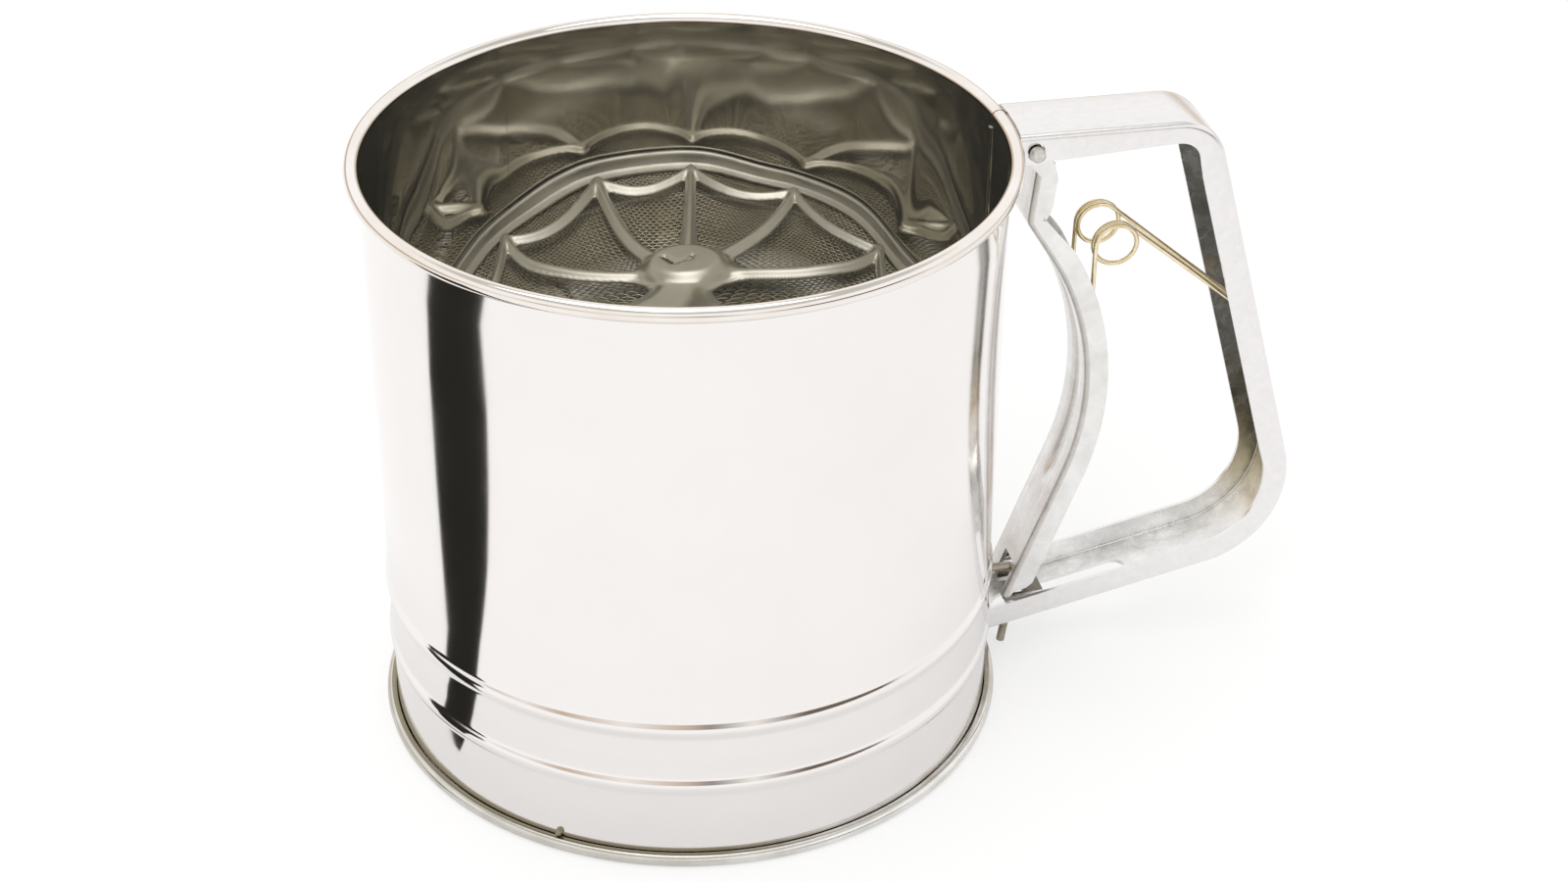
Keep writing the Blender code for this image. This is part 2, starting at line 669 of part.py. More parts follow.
# Handle
handle_length = sum((b - a).length for a, b in zip(handle_path, handle_path[1:]))
handle_depths = [
    (0.0, EAR_DEPTH),
    (EAR_LENGTH, TOP_LEG_DEPTH),
    (TOP_LEG_REACH - TOP_CORNER_RADIUS / 2, CORNER_DEPTH),
    (TOP_LEG_REACH + TOP_CORNER_RADIUS, GRIP_DEPTH),
    (handle_length, GRIP_DEPTH),
]


def handle_section(distance):
    return channel_section(HANDLE_WIDTH, HANDLE_EDGE, eased(distance, handle_depths))


def with_stops(path, distances):
    """Path with extra points at the given distances along it."""
    lengths = [0.0]
    for a, b in zip(path, path[1:]):
        lengths.append(lengths[-1] + (b - a).length)
    stops = list(zip(lengths, path))
    for distance in distances:
        for (start, a), (end, b) in zip(zip(lengths, path), zip(lengths[1:], path[1:])):
            if start + 0.5 * MM < distance < end - 0.5 * MM:
                stops.append((distance, a + (b - a) * ((distance - start) / (end - start))))
    return [point for _, point in sorted(stops, key=lambda stop: stop[0])]


handle_line = with_stops(handle_path, [distance for distance, _ in handle_depths])
handle_mesh = channel_mesh("handle", handle_line, handle_section, inside_left=False)
handle = solidify(place("handle", handle_mesh, satin_steel, sifter), HANDLE_SHEET)
roll_bottom = CUP_HEIGHT - RIM_ROLL - SEAT_GAP
envelope = [
    (0, CUP_HEIGHT + 5 * MM),
    (rim_radius + SEAT_GAP, CUP_HEIGHT + 5 * MM),
    (rim_radius + SEAT_GAP, roll_bottom),
    (wall_radius + SEAT_GAP, roll_bottom),
    (wall_radius + SEAT_GAP, -5 * MM),
    (0, -5 * MM),
]
turn(cut(handle, turned_mesh("cup_envelope", envelope, closed=False), "cup_envelope"), 96)
pin_hole = PIN_RADIUS + RUNNING_GAP
cut(handle, cross_rod_mesh("handle_pin_hole", pin, pin_hole, HANDLE_WIDTH), "handle_pin_hole")
slot_half = LEG_SLOT_WIDTH / 2
slot_near = link_end.x - LINK_FOOT_DRIFT - LINK_WIRE
slot_far = wall_radius + LEG_SLOT_FAR
slot_outline = arc((slot_far - slot_half, LEG_SLOT_SIDE), slot_half, -pi / 2, pi / 2, 8)
slot_outline += arc((slot_near + slot_half, LEG_SLOT_SIDE), slot_half, pi / 2, 3 * pi / 2, 8)
cut(handle, plate_mesh("leg_slot", [slot_outline], 0, leg_floor(slot_far) + MM), "leg_slot")

# Trigger
trigger_pivot = empty("trigger_pivot", (pin.x, 0, pin.y), sifter)
foot_start = Vector((pin.x + FOOT_REACH, leg_floor(pin.x + FOOT_REACH) + FOOT_LIFT))
trigger_points = [
    pin + Vector((WEB_TOP_REACH, -WEB_TOP_DROP)),
    pin + Vector((KINK_REACH, -KINK_DROP)),
    pin + Vector((BOW_REACH, -BOW_DROP)),
    foot_start,
    foot_start + Vector((FOOT_LENGTH, FOOT_RISE)),
]
trigger_path = rounded_path(trigger_points, [KINK_RADIUS, BOW_RADIUS, FOOT_BEND], radians(7))
trigger_length = sum((b - a).length for a, b in zip(trigger_path, trigger_path[1:]))
kink_at = KINK_DROP - WEB_TOP_DROP
foot_at = trigger_length - FOOT_LENGTH
trigger_depths = [
    (0.0, TRIGGER_EAR_DEPTH * 0.75),
    (kink_at / 4, TRIGGER_EAR_DEPTH),
    (kink_at * 0.7, TRIGGER_EAR_DEPTH),
    (kink_at, TRIGGER_KINK_DEPTH),
    (kink_at * 2, TRIGGER_DEPTH),
    (foot_at - FLANGE_RUNOUT, TRIGGER_DEPTH),
    (foot_at - FOOT_BEND, TRIGGER_LIP),
    (trigger_length, TRIGGER_LIP),
]
groove_stops = [
    (kink_at + GROOVE_START, 0.0),
    (kink_at + GROOVE_START + GROOVE_FADE, GROOVE_DEPTH),
    (foot_at - GROOVE_END - GROOVE_FADE, GROOVE_DEPTH),
    (foot_at - GROOVE_END, 0.0),
]


def trigger_section(distance):
    sunk = eased(distance, groove_stops)
    groove = [(-GROOVE_MOUTH / 2, 0.0), (-GROOVE_FLOOR / 2, sunk), (GROOVE_FLOOR / 2, sunk), (GROOVE_MOUTH / 2, 0.0)]
    return channel_section(TRIGGER_WIDTH, TRIGGER_EDGE, eased(distance, trigger_depths), groove)


trigger_line = with_stops(trigger_path, [distance for distance, _ in trigger_depths + groove_stops])
trigger_mesh = channel_mesh("trigger", trigger_line, trigger_section, inside_left=True)
trigger = solidify(place("trigger", trigger_mesh, satin_steel, trigger_pivot), TRIGGER_SHEET)
web_top = trigger_points[0]
ear_outline = arc(pin, TRIGGER_EAR, radians(20), radians(215), 10)
ear_outline += [
    web_top + Vector((TRIGGER_SHEET / 2, -TRIGGER_EAR)),
    web_top + Vector((TRIGGER_EAR_DEPTH * 0.7, -TRIGGER_EAR)),
]
for side in (-1, 1):
    face = TRIGGER_WIDTH / 2 - TRIGGER_SHEET / 2
    name = "ear_front" if side < 0 else "ear_back"
    ear_mesh = plate_mesh(name, [ear_outline], -TRIGGER_SHEET / 2 + 0.02 * MM, TRIGGER_SHEET / 2 - 0.02 * MM)
    for vertex in ear_mesh.vertices:
        x, z, y = vertex.co
        vertex.co = (x, side * face - y, z)
    join(trigger, ear_mesh, name)
cut(trigger, cross_rod_mesh("trigger_pin_hole", pin, pin_hole, HANDLE_WIDTH), "trigger_pin_hole")
web_slot = box_mesh(
    "web_slot",
    (foot_start.x + TRIGGER_SHEET * 0.4, WEB_SLOT_SIDE - WEB_SLOT_WIDTH / 2, foot_start.y - 2 * TRIGGER_SHEET),
    (link_end.x + LINK_WIRE / 2 + LINK_PLAY, WEB_SLOT_SIDE + WEB_SLOT_WIDTH / 2, LINK_Z + WEB_SLOT_TOP),
)
cut(trigger, web_slot, "web_slot")
place("trigger_pin", cross_rod_mesh("trigger_pin", pin, PIN_RADIUS, PIN_LENGTH / 2, 0.3 * MM), satin_steel, trigger_pivot)

# Return spring
coil_centre = pin + Vector((SPRING_REACH, -SPRING_DROP))
grip_slope = (low_corner.x - top_corner.x) / (top_corner.y - low_corner.y)
grip_z = handle_top - SPRING_GRIP_DROP
grip_inside = top_corner.x + (top_corner.y - grip_z) * grip_slope - HANDLE_SHEET * hypot(1, grip_slope)
grip_rest = Vector((grip_inside - SEAT_GAP - SPRING_WIRE / 2, grip_z))
to_grip = grip_rest - coil_centre
leave = atan2(to_grip.y, to_grip.x) + atan2((to_grip.length ** 2 - SPRING_COIL_RADIUS ** 2) ** 0.5, SPRING_COIL_RADIUS)
coil_turn = pi - leave + 2 * pi * SPRING_FULL_TURNS
coil_count = round(coil_turn / (2 * pi) * SPRING_POINTS_PER_TURN)


def spring_half(side):
    """Points of one leg and coil, from the trigger leg's tip to the grip."""
    points = []
    for share in (1.0, 0.5):
        tip = coil_centre.y - SPRING_LEG_LENGTH * share
        points.append(Vector((coil_centre.x - SPRING_COIL_RADIUS, side * SPRING_LEG_SIDE, tip)))
    for i in range(coil_count + 1):
        angle = pi - coil_turn * i / coil_count
        across = SPRING_LEG_SIDE - SPRING_PITCH * coil_turn * i / coil_count / (2 * pi)
        spot = coil_centre + polar(SPRING_COIL_RADIUS, angle)
        points.append(Vector((spot.x, side * across, spot.y)))
    points.append(Vector((grip_rest.x, side * SPRING_GRIP_SIDE, grip_rest.y)))
    return points


near_half = spring_half(-1)
far_half = spring_half(1)[::-1]
spring_path = rounded_path(near_half[-2:] + far_half[:2], [SPRING_WIRE, SPRING_WIRE], radians(50))
spring_path = near_half[:-1] + spring_path[1:-1] + far_half[1:]
place("return_spring", wire_mesh("return_spring", spring_path, SPRING_WIRE), spring_steel, sifter)

apart = SPRING_POINTS_PER_TURN // 2
closest = min((a - b).length for i, a in enumerate(spring_path) for b in spring_path[i + apart:])
print("return_spring least gap to itself: %.2f mm" % ((closest - SPRING_WIRE) / MM))
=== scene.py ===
"""Looks of a squeeze-handle flour sifter, dressed piece by piece around its solid model."""
from math import atan2, ceil, cos, hypot, pi, radians, sin, tan

import bmesh
import bpy
import numpy as np
from mathutils import Matrix, Vector


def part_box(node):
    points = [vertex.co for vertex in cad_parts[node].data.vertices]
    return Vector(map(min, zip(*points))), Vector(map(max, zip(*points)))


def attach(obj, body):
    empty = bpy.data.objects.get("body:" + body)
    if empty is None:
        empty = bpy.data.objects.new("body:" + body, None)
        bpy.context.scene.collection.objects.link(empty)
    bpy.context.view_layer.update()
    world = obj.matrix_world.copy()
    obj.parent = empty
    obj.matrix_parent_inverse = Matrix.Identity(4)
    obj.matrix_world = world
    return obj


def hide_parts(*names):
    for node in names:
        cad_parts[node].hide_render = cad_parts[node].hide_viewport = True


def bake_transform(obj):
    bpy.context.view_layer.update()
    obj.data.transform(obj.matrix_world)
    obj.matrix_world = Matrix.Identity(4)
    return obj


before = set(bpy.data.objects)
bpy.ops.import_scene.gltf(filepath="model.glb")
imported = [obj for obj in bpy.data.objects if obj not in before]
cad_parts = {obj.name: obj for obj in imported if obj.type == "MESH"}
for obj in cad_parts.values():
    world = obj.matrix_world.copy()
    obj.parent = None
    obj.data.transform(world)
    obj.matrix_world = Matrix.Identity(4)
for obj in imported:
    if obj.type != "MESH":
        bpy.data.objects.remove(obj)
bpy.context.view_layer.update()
MM = 0.001


# Viewpoint and studio. A high three-quarter view with the handle on the right, on a white sweep
# that glows a little by itself so that it stays white, under soft light with a dimmer ceiling.
# The floor's glow fades out under the cup, a painted shade where it stands, and reflections see the
# floor dimmed near the cup, a painted contact shadow; a black card lies to the left for the polished
# wall to show.
VIEW_ROLL = 0.0093
LENS = 63.34
SENSOR = 36
cup_low, cup_high = (Vector(corner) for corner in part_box("cup_body"))
cup_axis = (cup_low.x + cup_high.x) / 2
scene = bpy.context.scene
scene.view_settings.view_transform = "Standard"


def from_cup(x, y, z):
    """A place given in millimetres from the middle of the cup's foot."""
    return Vector((cup_axis + x * MM, y * MM, z * MM))


view_from = from_cup(-80.4, -470.5, 356.2)
view_to = from_cup(19.15, -3.27, 57.85)
forward = (view_to - view_from).normalized()
level = forward.cross(Vector((0, 0, 1))).normalized()
upright = level.cross(forward)
right = level * cos(VIEW_ROLL) + upright * sin(VIEW_ROLL)
above = upright * cos(VIEW_ROLL) - level * sin(VIEW_ROLL)
camera = bpy.data.objects.new("view", bpy.data.cameras.new("view"))
camera.data.lens = LENS
camera.data.sensor_width = SENSOR
camera.data.clip_start = 0.02
camera.matrix_world = Matrix((right, above, -forward)).transposed().to_4x4()
camera.location = view_from
scene.collection.objects.link(camera)
scene.camera = camera


def set_values(node, **values):
    """Set a node's properties and inputs by their names, with _ for a space."""
    for key, value in values.items():
        if hasattr(node, key):
            setattr(node, key, value)
        else:
            node.inputs[key.replace("_", " ")].default_value = value
    return node


def node_maker(tree):
    """A function that adds a shader node with set values to one tree."""
    return lambda kind, **values: set_values(tree.nodes.new("ShaderNode" + kind), **values)


def new_material(name):
    """A node material, its joiner of sockets, its maker of nodes and its Principled shader."""
    finish = bpy.data.materials.new(name)
    finish.use_nodes = True
    tree = finish.node_tree
    return finish, tree.links.new, node_maker(tree), tree.nodes["Principled BSDF"]


def stage_sheet(name, corners, finish):
    """A flat sheet of the studio."""
    mesh = bpy.data.meshes.new(name)
    mesh.from_pydata(corners, [], [tuple(range(len(corners)))])
    mesh.materials.append(finish)
    sheet = bpy.data.objects.new(name, mesh)
    scene.collection.objects.link(sheet)
    return sheet


FLOOR_HALF = 4
FLOOR_GREY = 0.40
FLOOR_GLOW = 0.59
# The glow fades out under the cup's footprint: a painted shade under the cup.
GLOW_STARTS, GLOW_FULL = 0.048, 0.0635
# Glossy rays see the glow dimmed near the cup: a painted contact shadow in the wall's reflection.
MIRRORED_GLOW = 0.78
MIRRORED_FROM, MIRRORED_FULL = 0.066, 0.116
floor_finish, join_up, node, floor_shader = new_material("white_sweep")
set_values(floor_shader, Base_Color=(FLOOR_GREY, FLOOR_GREY, FLOOR_GREY, 1), Roughness=0.9)
set_values(floor_shader, Specular_IOR_Level=0.0, Emission_Color=(1, 1, 1, 1))
floor_place = node("NewGeometry")
from_axis = node("VectorMath", operation="DISTANCE")
from_axis.inputs[1].default_value = (cup_axis, 0, 0)
glow = node("MapRange", interpolation_type="SMOOTHSTEP")
set_values(glow, From_Min=GLOW_STARTS, From_Max=GLOW_FULL, To_Max=FLOOR_GLOW)
painted_contact_shadow = node("MapRange", interpolation_type="SMOOTHSTEP")
set_values(painted_contact_shadow, From_Min=MIRRORED_FROM, From_Max=MIRRORED_FULL, To_Min=MIRRORED_GLOW)
ray = node("LightPath")
seen = node("Math", operation="ADD", use_clamp=True)
shown = node("Math", operation="ADD", use_clamp=True)
lit = node("Math", operation="MULTIPLY")
mirrored = node("Mix", A=1.0)
shadowed_glow = node("Math", operation="MULTIPLY")
from_above = node("Math", operation="SUBTRACT")
from_above.inputs[0].default_value = 1.0
join_up(floor_place.outputs["Position"], from_axis.inputs[0])
join_up(from_axis.outputs["Value"], glow.inputs["Value"])
join_up(from_axis.outputs["Value"], painted_contact_shadow.inputs["Value"])
join_up(ray.outputs["Is Camera Ray"], seen.inputs[0])
join_up(ray.outputs["Is Glossy Ray"], seen.inputs[1])
join_up(seen.outputs["Value"], shown.inputs[0])
join_up(ray.outputs["Is Transmission Ray"], shown.inputs[1])
join_up(glow.outputs["Result"], lit.inputs[0])
join_up(shown.outputs["Value"], lit.inputs[1])
join_up(ray.outputs["Is Glossy Ray"], mirrored.inputs["Factor"])
join_up(painted_contact_shadow.outputs["Result"], mirrored.inputs["B"])
join_up(lit.outputs["Value"], shadowed_glow.inputs[0])
join_up(mirrored.outputs[0], shadowed_glow.inputs[1])
join_up(shadowed_glow.outputs["Value"], floor_shader.inputs["Emission Strength"])
join_up(floor_place.outputs["Backfacing"], from_above.inputs[1])
join_up(from_above.outputs["Value"], floor_shader.inputs["Alpha"])
floor_corners = [(x * FLOOR_HALF, y * FLOOR_HALF, 0) for x, y in ((-1, -1), (1, -1), (1, 1), (-1, 1))]
floor = stage_sheet("floor", floor_corners, floor_finish)

CARD_LIFT = 0.4
card_finish, *_, card_shader = new_material("black_card")
set_values(card_shader, Base_Color=(0.019, 0.018, 0.015, 1), Roughness=0.8, Specular_IOR_Level=0.0)
card_outline = [
    (-66.5, -28), (-71, -21), (-79, -17), (-100, -12), (-128, 1), (-157, 15),
    (-208, 37), (-252, 49), (-330, 75), (-330, -64), (-243, -56), (-203, -56),
    (-168, -50), (-135, -43), (-105, -34), (-91, -33), (-74, -30),
]
card = stage_sheet("black_card", [from_cup(x, y, CARD_LIFT) for x, y in card_outline], card_finish)
card.visible_camera = False
card.visible_diffuse = False
card.visible_shadow = False


def ramp(node, stops):
    """Set the colours along a ramp from (place, colour) stops."""
    first, last = node.color_ramp.elements
    first.position, first.color = stops[0][0], (*stops[0][1], 1)
    last.position, last.color = stops[-1][0], (*stops[-1][1], 1)
    for place, tone in stops[1:-1]:
        node.color_ramp.elements.new(place).color = (*tone, 1)


# Sockets of a Mix node that mixes colours.
COLOUR_A, COLOUR_B, COLOUR_OUT = 6, 7, 2
bright_air = (1.08, 1.08, 1.08)
dark_side, tan_side, pale_side = (0.16, 0.12, 0.09), (0.62, 0.50, 0.38), (0.95, 0.92, 0.88)
world = bpy.data.worlds.new("studio")
world.use_nodes = True
scene.world = world
join_up, node = world.node_tree.links.new, node_maker(world.node_tree)
heading = node("TexCoord")
split = node("SeparateXYZ")
sweep = node("TexGradient", gradient_type="RADIAL")
dome, band, room = node("ValToRGB"), node("ValToRGB"), node("ValToRGB")
ramp(dome, [
    (0.0, bright_air), (0.66, bright_air), (0.78, (0.66, 0.65, 0.62)),
    (0.92, (0.62, 0.61, 0.58)), (1.0, (1, 1, 1)),
])
ramp(band, [(0.0, (1, 1, 1)), (0.15, (1, 1, 1)), (0.24, (0, 0, 0))])
ramp(room, [
    (0.0, tan_side), (0.06, pale_side), (0.10, tan_side), (0.16, pale_side), (0.22, tan_side),
    (0.24, (0.3, 0.28, 0.26)), (0.28, pale_side), (0.33, dark_side), (0.41, dark_side),
    (0.46, pale_side), (0.7, tan_side), (1.0, tan_side),
])
around = node("Mix", data_type="RGBA")
sight = node("LightPath")
backdrop = node("Mix", data_type="RGBA")
backdrop.inputs[COLOUR_B].default_value = (1, 1, 1, 1)
join_up(heading.outputs["Generated"], sweep.inputs["Vector"])
join_up(sweep.outputs["Fac"], room.inputs["Fac"])
join_up(heading.outputs["Generated"], split.inputs[0])
join_up(split.outputs["Z"], dome.inputs["Fac"])
join_up(split.outputs["Z"], band.inputs["Fac"])
join_up(band.outputs["Color"], around.inputs["Factor"])
join_up(dome.outputs["Color"], around.inputs[COLOUR_A])
join_up(room.outputs["Color"], around.inputs[COLOUR_B])
join_up(sight.outputs["Is Camera Ray"], backdrop.inputs["Factor"])
join_up(around.outputs[COLOUR_OUT], backdrop.inputs[COLOUR_A])
join_up(backdrop.outputs[COLOUR_OUT], world.node_tree.nodes["Background"].inputs["Color"])

lamp_target = from_cup(10, 0, 70)
for name, place, size, power, mirrors in (
    ("key", (-260, -420, 760), 0.45, 1.6, False),
    ("top", (-40, 90, 900), 0.6, 1.7, True),
):
    lamp = bpy.data.lights.new(name, "AREA")
    lamp.size = size
    lamp.energy = power
    light = bpy.data.objects.new(name, lamp)
    light.location = from_cup(*place)
    aim = lamp_target - light.location
    light.rotation_euler = aim.to_track_quat("-Z", "Y").to_euler()
    light.visible_glossy = mirrors
    scene.collection.objects.link(light)


# Cup. One deep polished sheet cylinder, rolled outwards at rim and foot and beaded twice near the
# foot, with a lap seam beside the handle and a slot for the link. Outside it is a clear mirror;
# inside the sheet is duller and a little wavy, so what it shows is bent.
WALL = 62.5
SHEET = 0.5
RIM_ROLL = 3.0
FOOT_ROLL = 2.7
ROLL_CURL = radians(118)
ROLL_FLAT = radians(9)
UPPER_BEAD = 32.2
LOWER_BEAD = 18.6
BEAD_HALF_RISE = 0.3
BEAD_UP = 2.1
BEAD_DOWN = 2.5
CUP_STEPS = 288
cup_height = cup_high.z / MM


def arc(centre, radius, start, end, count):
    """Points of a flat arc between two angles."""
    angles = [start + (end - start) * i / count for i in range(count + 1)]
    return [Vector((centre[0] + radius * cos(a), centre[1] + radius * sin(a))) for a in angles]


def side_normals(path):
    """Left-hand normal at each point of a flat path, long enough to keep an even offset."""
    normals = []
    for i in range(len(path)):
        after = path[min(i + 1, len(path) - 1)] - path[min(i, len(path) - 2)]
        before = path[max(i, 1)] - path[max(i - 1, 0)]
        first = Vector((-before.y, before.x)).normalized()
        second = Vector((-after.y, after.x)).normalized()
        normal = (first + second).normalized()
        normals.append(normal / normal.dot(first))
    return normals


def sheet_outline(path, thickness):
    """Closed outline of a sheet whose middle line is the path."""
    half = [normal * thickness / 2 for normal in side_normals(path)]
    left = [point + offset for point, offset in zip(path, half)]
    return left + [point - offset for point, offset in zip(path, half)][::-1]


def closed_mesh(name, points, faces):
    """A closed mesh with its faces turned outwards."""
    mesh = bpy.data.meshes.new(name)
    mesh.from_pydata(points, [], faces)
    shell = bmesh.new()
    shell.from_mesh(mesh)
    bmesh.ops.recalc_face_normals(shell, faces=shell.faces)
    shell.to_mesh(mesh)
    shell.free()
    return mesh


def ring_mesh(name, outline, steps):
    """A closed outline of radius and height, in millimetres, turned about the cup's axis."""
    count = len(outline)
    points = []
    faces = []
    for k in range(steps):
        turn = 2 * pi * k / steps
        points += [from_cup(p[0] * cos(turn), p[0] * sin(turn), p[1]) for p in outline]
        here = k * count
        there = (k + 1) % steps * count
        for j in range(count):
            i = (j + 1) % count
            faces.append((here + j, here + i, there + i, there + j))
    return closed_mesh(name, points, faces)


def prism(outline, low, high, stand):
    """Closed block between two levels of a flat outline; stand turns (u, v, level) into a place."""
    count = len(outline)
    points = [stand(p[0], p[1], height) for height in (low, high) for p in outline]
    faces = [(k, (k + 1) % count, count + (k + 1) % count, count + k) for k in range(count)]
    faces += [tuple(range(count))[::-1], tuple(range(count, 2 * count))]
    return closed_mesh("prism", points, faces)


def as_made(blank):
    """Mesh of an object with its modifiers applied; the object itself is taken away."""
    scene.collection.objects.link(blank)
    bpy.context.view_layer.update()
    made = bpy.data.meshes.new_from_object(blank.evaluated_get(bpy.context.evaluated_depsgraph_get()))
    bpy.data.objects.remove(blank)
    return made


def subtract(blank, cutter_mesh):
    """Mesh of a blank, a mesh or an object with modifiers, with a closed mesh cut away."""
    if isinstance(blank, bpy.types.Mesh):
        blank = bpy.data.objects.new("blank", blank)
    cutter = bpy.data.objects.new("cutter", cutter_mesh)
    scene.collection.objects.link(cutter)
    knife = blank.modifiers.new("knife", "BOOLEAN")
    knife.operation = "DIFFERENCE"
    knife.object = cutter
    made = as_made(blank)
    bpy.data.objects.remove(cutter)
    return made


def show(name, mesh, finishes, body, nodes=(), sharp=40):
    """Put a finished mesh in the scene on the body it moves with, in place of its solids."""
    for finish in finishes:
        mesh.materials.append(finish)
    mesh.shade_smooth()
    mesh.set_sharp_from_angle(angle=radians(sharp))
    piece = bpy.data.objects.new(name, mesh)
    scene.collection.objects.link(piece)
    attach(piece, body)
    if nodes:
        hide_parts(*nodes)
    return piece


def rolled_edge(tube, top):
    """Middle line of a rolled edge from its free end to the wall, resting on a narrow flat."""
    radius = tube / 2 - SHEET / 2
    lift = cos(ROLL_FLAT) * radius + SHEET / 2
    centre = (WALL - SHEET / 2 + radius, cup_height - lift if top else lift)
    up = 1 if top else -1
    return arc(centre, radius, -up * ROLL_CURL, 0, 8)[:-1] + arc(centre, radius, 0, up * pi, 10)


def bead(middle):
    """Middle line of one stiffening bead, from its top down, with a longer lower flank."""
    stations = [1 - i / 7 for i in range(15)]
    heights = [middle + s * (BEAD_UP if s > 0 else BEAD_DOWN) for s in stations]
    rises = [BEAD_HALF_RISE * (1 + cos(pi * s)) for s in stations]
    return [Vector((WALL - SHEET / 2 + rise, height)) for rise, height in zip(rises, heights)]


def plain_wall(high, low, count):
    """Middle line of the plain wall between two heights, without its ends."""
    return [Vector((WALL - SHEET / 2, high + (low - high) * i / count)) for i in range(1, count)]


cup_line = rolled_edge(RIM_ROLL, True)
cup_line += plain_wall(cup_height - RIM_ROLL, UPPER_BEAD + BEAD_UP, 12) + bead(UPPER_BEAD)
cup_line += plain_wall(UPPER_BEAD - BEAD_DOWN, LOWER_BEAD + BEAD_UP, 3) + bead(LOWER_BEAD)
cup_line += plain_wall(LOWER_BEAD - BEAD_DOWN, FOOT_ROLL, 4) + rolled_edge(FOOT_ROLL, False)[::-1]
link_slot = prism([(60.5, -4.4), (64.5, -4.4), (64.5, 0.8), (60.5, 0.8)], 18.9, 21.7, from_cup)
cup_mesh = subtract(ring_mesh("cup", sheet_outline(cup_line, SHEET), CUP_STEPS), link_slot)


def effect(name, inputs, outputs):
    """A shader node group with named sockets, its joiner, its maker of nodes and its two ends."""
    group = bpy.data.node_groups.new(name, "ShaderNodeTree")
    for label, value in inputs.items():
        socket = group.interface.new_socket(label, in_out="INPUT", socket_type="NodeSocketFloat")
        socket.default_value = value
    for label in outputs:
        group.interface.new_socket(label, in_out="OUTPUT", socket_type="NodeSocketFloat")
    ends = [group.nodes.new("NodeGroup" + end) for end in ("Input", "Output")]
    return group, group.links.new, node_maker(group), *ends


# Marks in polished sheet: fine rings from the polishing wheel, slow waves of the sheet, and smudges.
polish, tie, part, given, result = effect(
    "spun_polish", {"Rings": 900.0, "Waves": 22.0}, ("Ring", "Wave", "Smudge")
)
where = part("TexCoord")
flatten = part("Mapping", vector_type="POINT", Scale=(0.02, 0.02, 1.0))
stretch = part("Mapping", vector_type="POINT", Scale=(1.0, 1.0, 0.45))
ring_noise = part("TexNoise", Detail=4.0, Roughness=0.7)
wave_noise = part("TexNoise", Detail=0.0)
smudge_noise = part("TexNoise", Scale=48.0, Detail=6.0, Roughness=0.62)
tie(where.outputs["Object"], flatten.inputs["Vector"])
tie(where.outputs["Object"], stretch.inputs["Vector"])
tie(flatten.outputs["Vector"], ring_noise.inputs["Vector"])
tie(stretch.outputs["Vector"], wave_noise.inputs["Vector"])
tie(where.outputs["Object"], smudge_noise.inputs["Vector"])
tie(given.outputs["Rings"], ring_noise.inputs["Scale"])
tie(given.outputs["Waves"], wave_noise.inputs["Scale"])
tie(ring_noise.outputs[0], result.inputs["Ring"])
tie(wave_noise.outputs[0], result.inputs["Wave"])
tie(smudge_noise.outputs[0], result.inputs["Smudge"])

CLOUD_FROM, CLOUD_FULL = 88 * MM, 122 * MM
# Between these places the sheet is painted duller towards the cup's left, a painted shade.
LEFT_SHADE_FROM, LEFT_SHADE_FULL = cup_axis + 20 * MM, cup_axis - 16 * MM


def colour_mix(node, first, second):
    """A mix of two plain colours."""
    mix = node("Mix", data_type="RGBA")
    mix.inputs[COLOUR_A].default_value = (*first, 1)
    mix.inputs[COLOUR_B].default_value = (*second, 1)
    return mix


def polished(
    name, bright, dull, gloss, haze, rings, waves, ring_depth, wave_depth, clouded=0, left_shade=0, metal=1
):
    """Polished sheet whose colour and gloss follow its smudges, with rings and waves in its face.

    Clouded is roughness added towards the cup's rim; the dull colour added on its left is a painted
    shade."""
    finish, join_up, node, shader = new_material(name)
    place_in = node("TexCoord")
    split_place = node("SeparateXYZ")
    marks = node("Group", node_tree=polish, Rings=rings, Waves=waves)
    left = node("MapRange", From_Min=LEFT_SHADE_FROM, From_Max=LEFT_SHADE_FULL, To_Max=left_shade)
    smudged = node("MapRange", From_Min=0.35, From_Max=0.75)
    dulled = node("Math", operation="ADD", use_clamp=True)
    tone = colour_mix(node, bright, dull)
    cloud = node("MapRange", interpolation_type="SMOOTHSTEP")
    set_values(cloud, From_Min=CLOUD_FROM, From_Max=CLOUD_FULL, To_Max=clouded)
    sheen = node("MapRange", From_Min=0.3, From_Max=0.75, To_Min=gloss, To_Max=haze)
    rough = node("Math", operation="ADD")
    spun = node("Bump", Strength=1.0, Distance=ring_depth)
    wavy = node("Bump", Strength=1.0, Distance=wave_depth)
    join_up(place_in.outputs["Object"], split_place.inputs[0])
    join_up(split_place.outputs["X"], left.inputs["Value"])
    join_up(marks.outputs["Smudge"], smudged.inputs["Value"])
    join_up(smudged.outputs["Result"], dulled.inputs[0])
    join_up(left.outputs["Result"], dulled.inputs[1])
    join_up(dulled.outputs["Value"], tone.inputs["Factor"])
    join_up(tone.outputs[COLOUR_OUT], shader.inputs["Base Color"])
    join_up(split_place.outputs["Z"], cloud.inputs["Value"])
    join_up(marks.outputs["Smudge"], sheen.inputs["Value"])
    join_up(sheen.outputs["Result"], rough.inputs[0])
    join_up(cloud.outputs["Result"], rough.inputs[1])
    join_up(rough.outputs["Value"], shader.inputs["Roughness"])
    join_up(marks.outputs["Wave"], wavy.inputs["Height"])
    join_up(marks.outputs["Ring"], spun.inputs["Height"])
    join_up(wavy.outputs["Normal"], spun.inputs["Normal"])
    join_up(spun.outputs["Normal"], shader.inputs["Normal"])
    shader.inputs["Metallic"].default_value = metal
    return finish


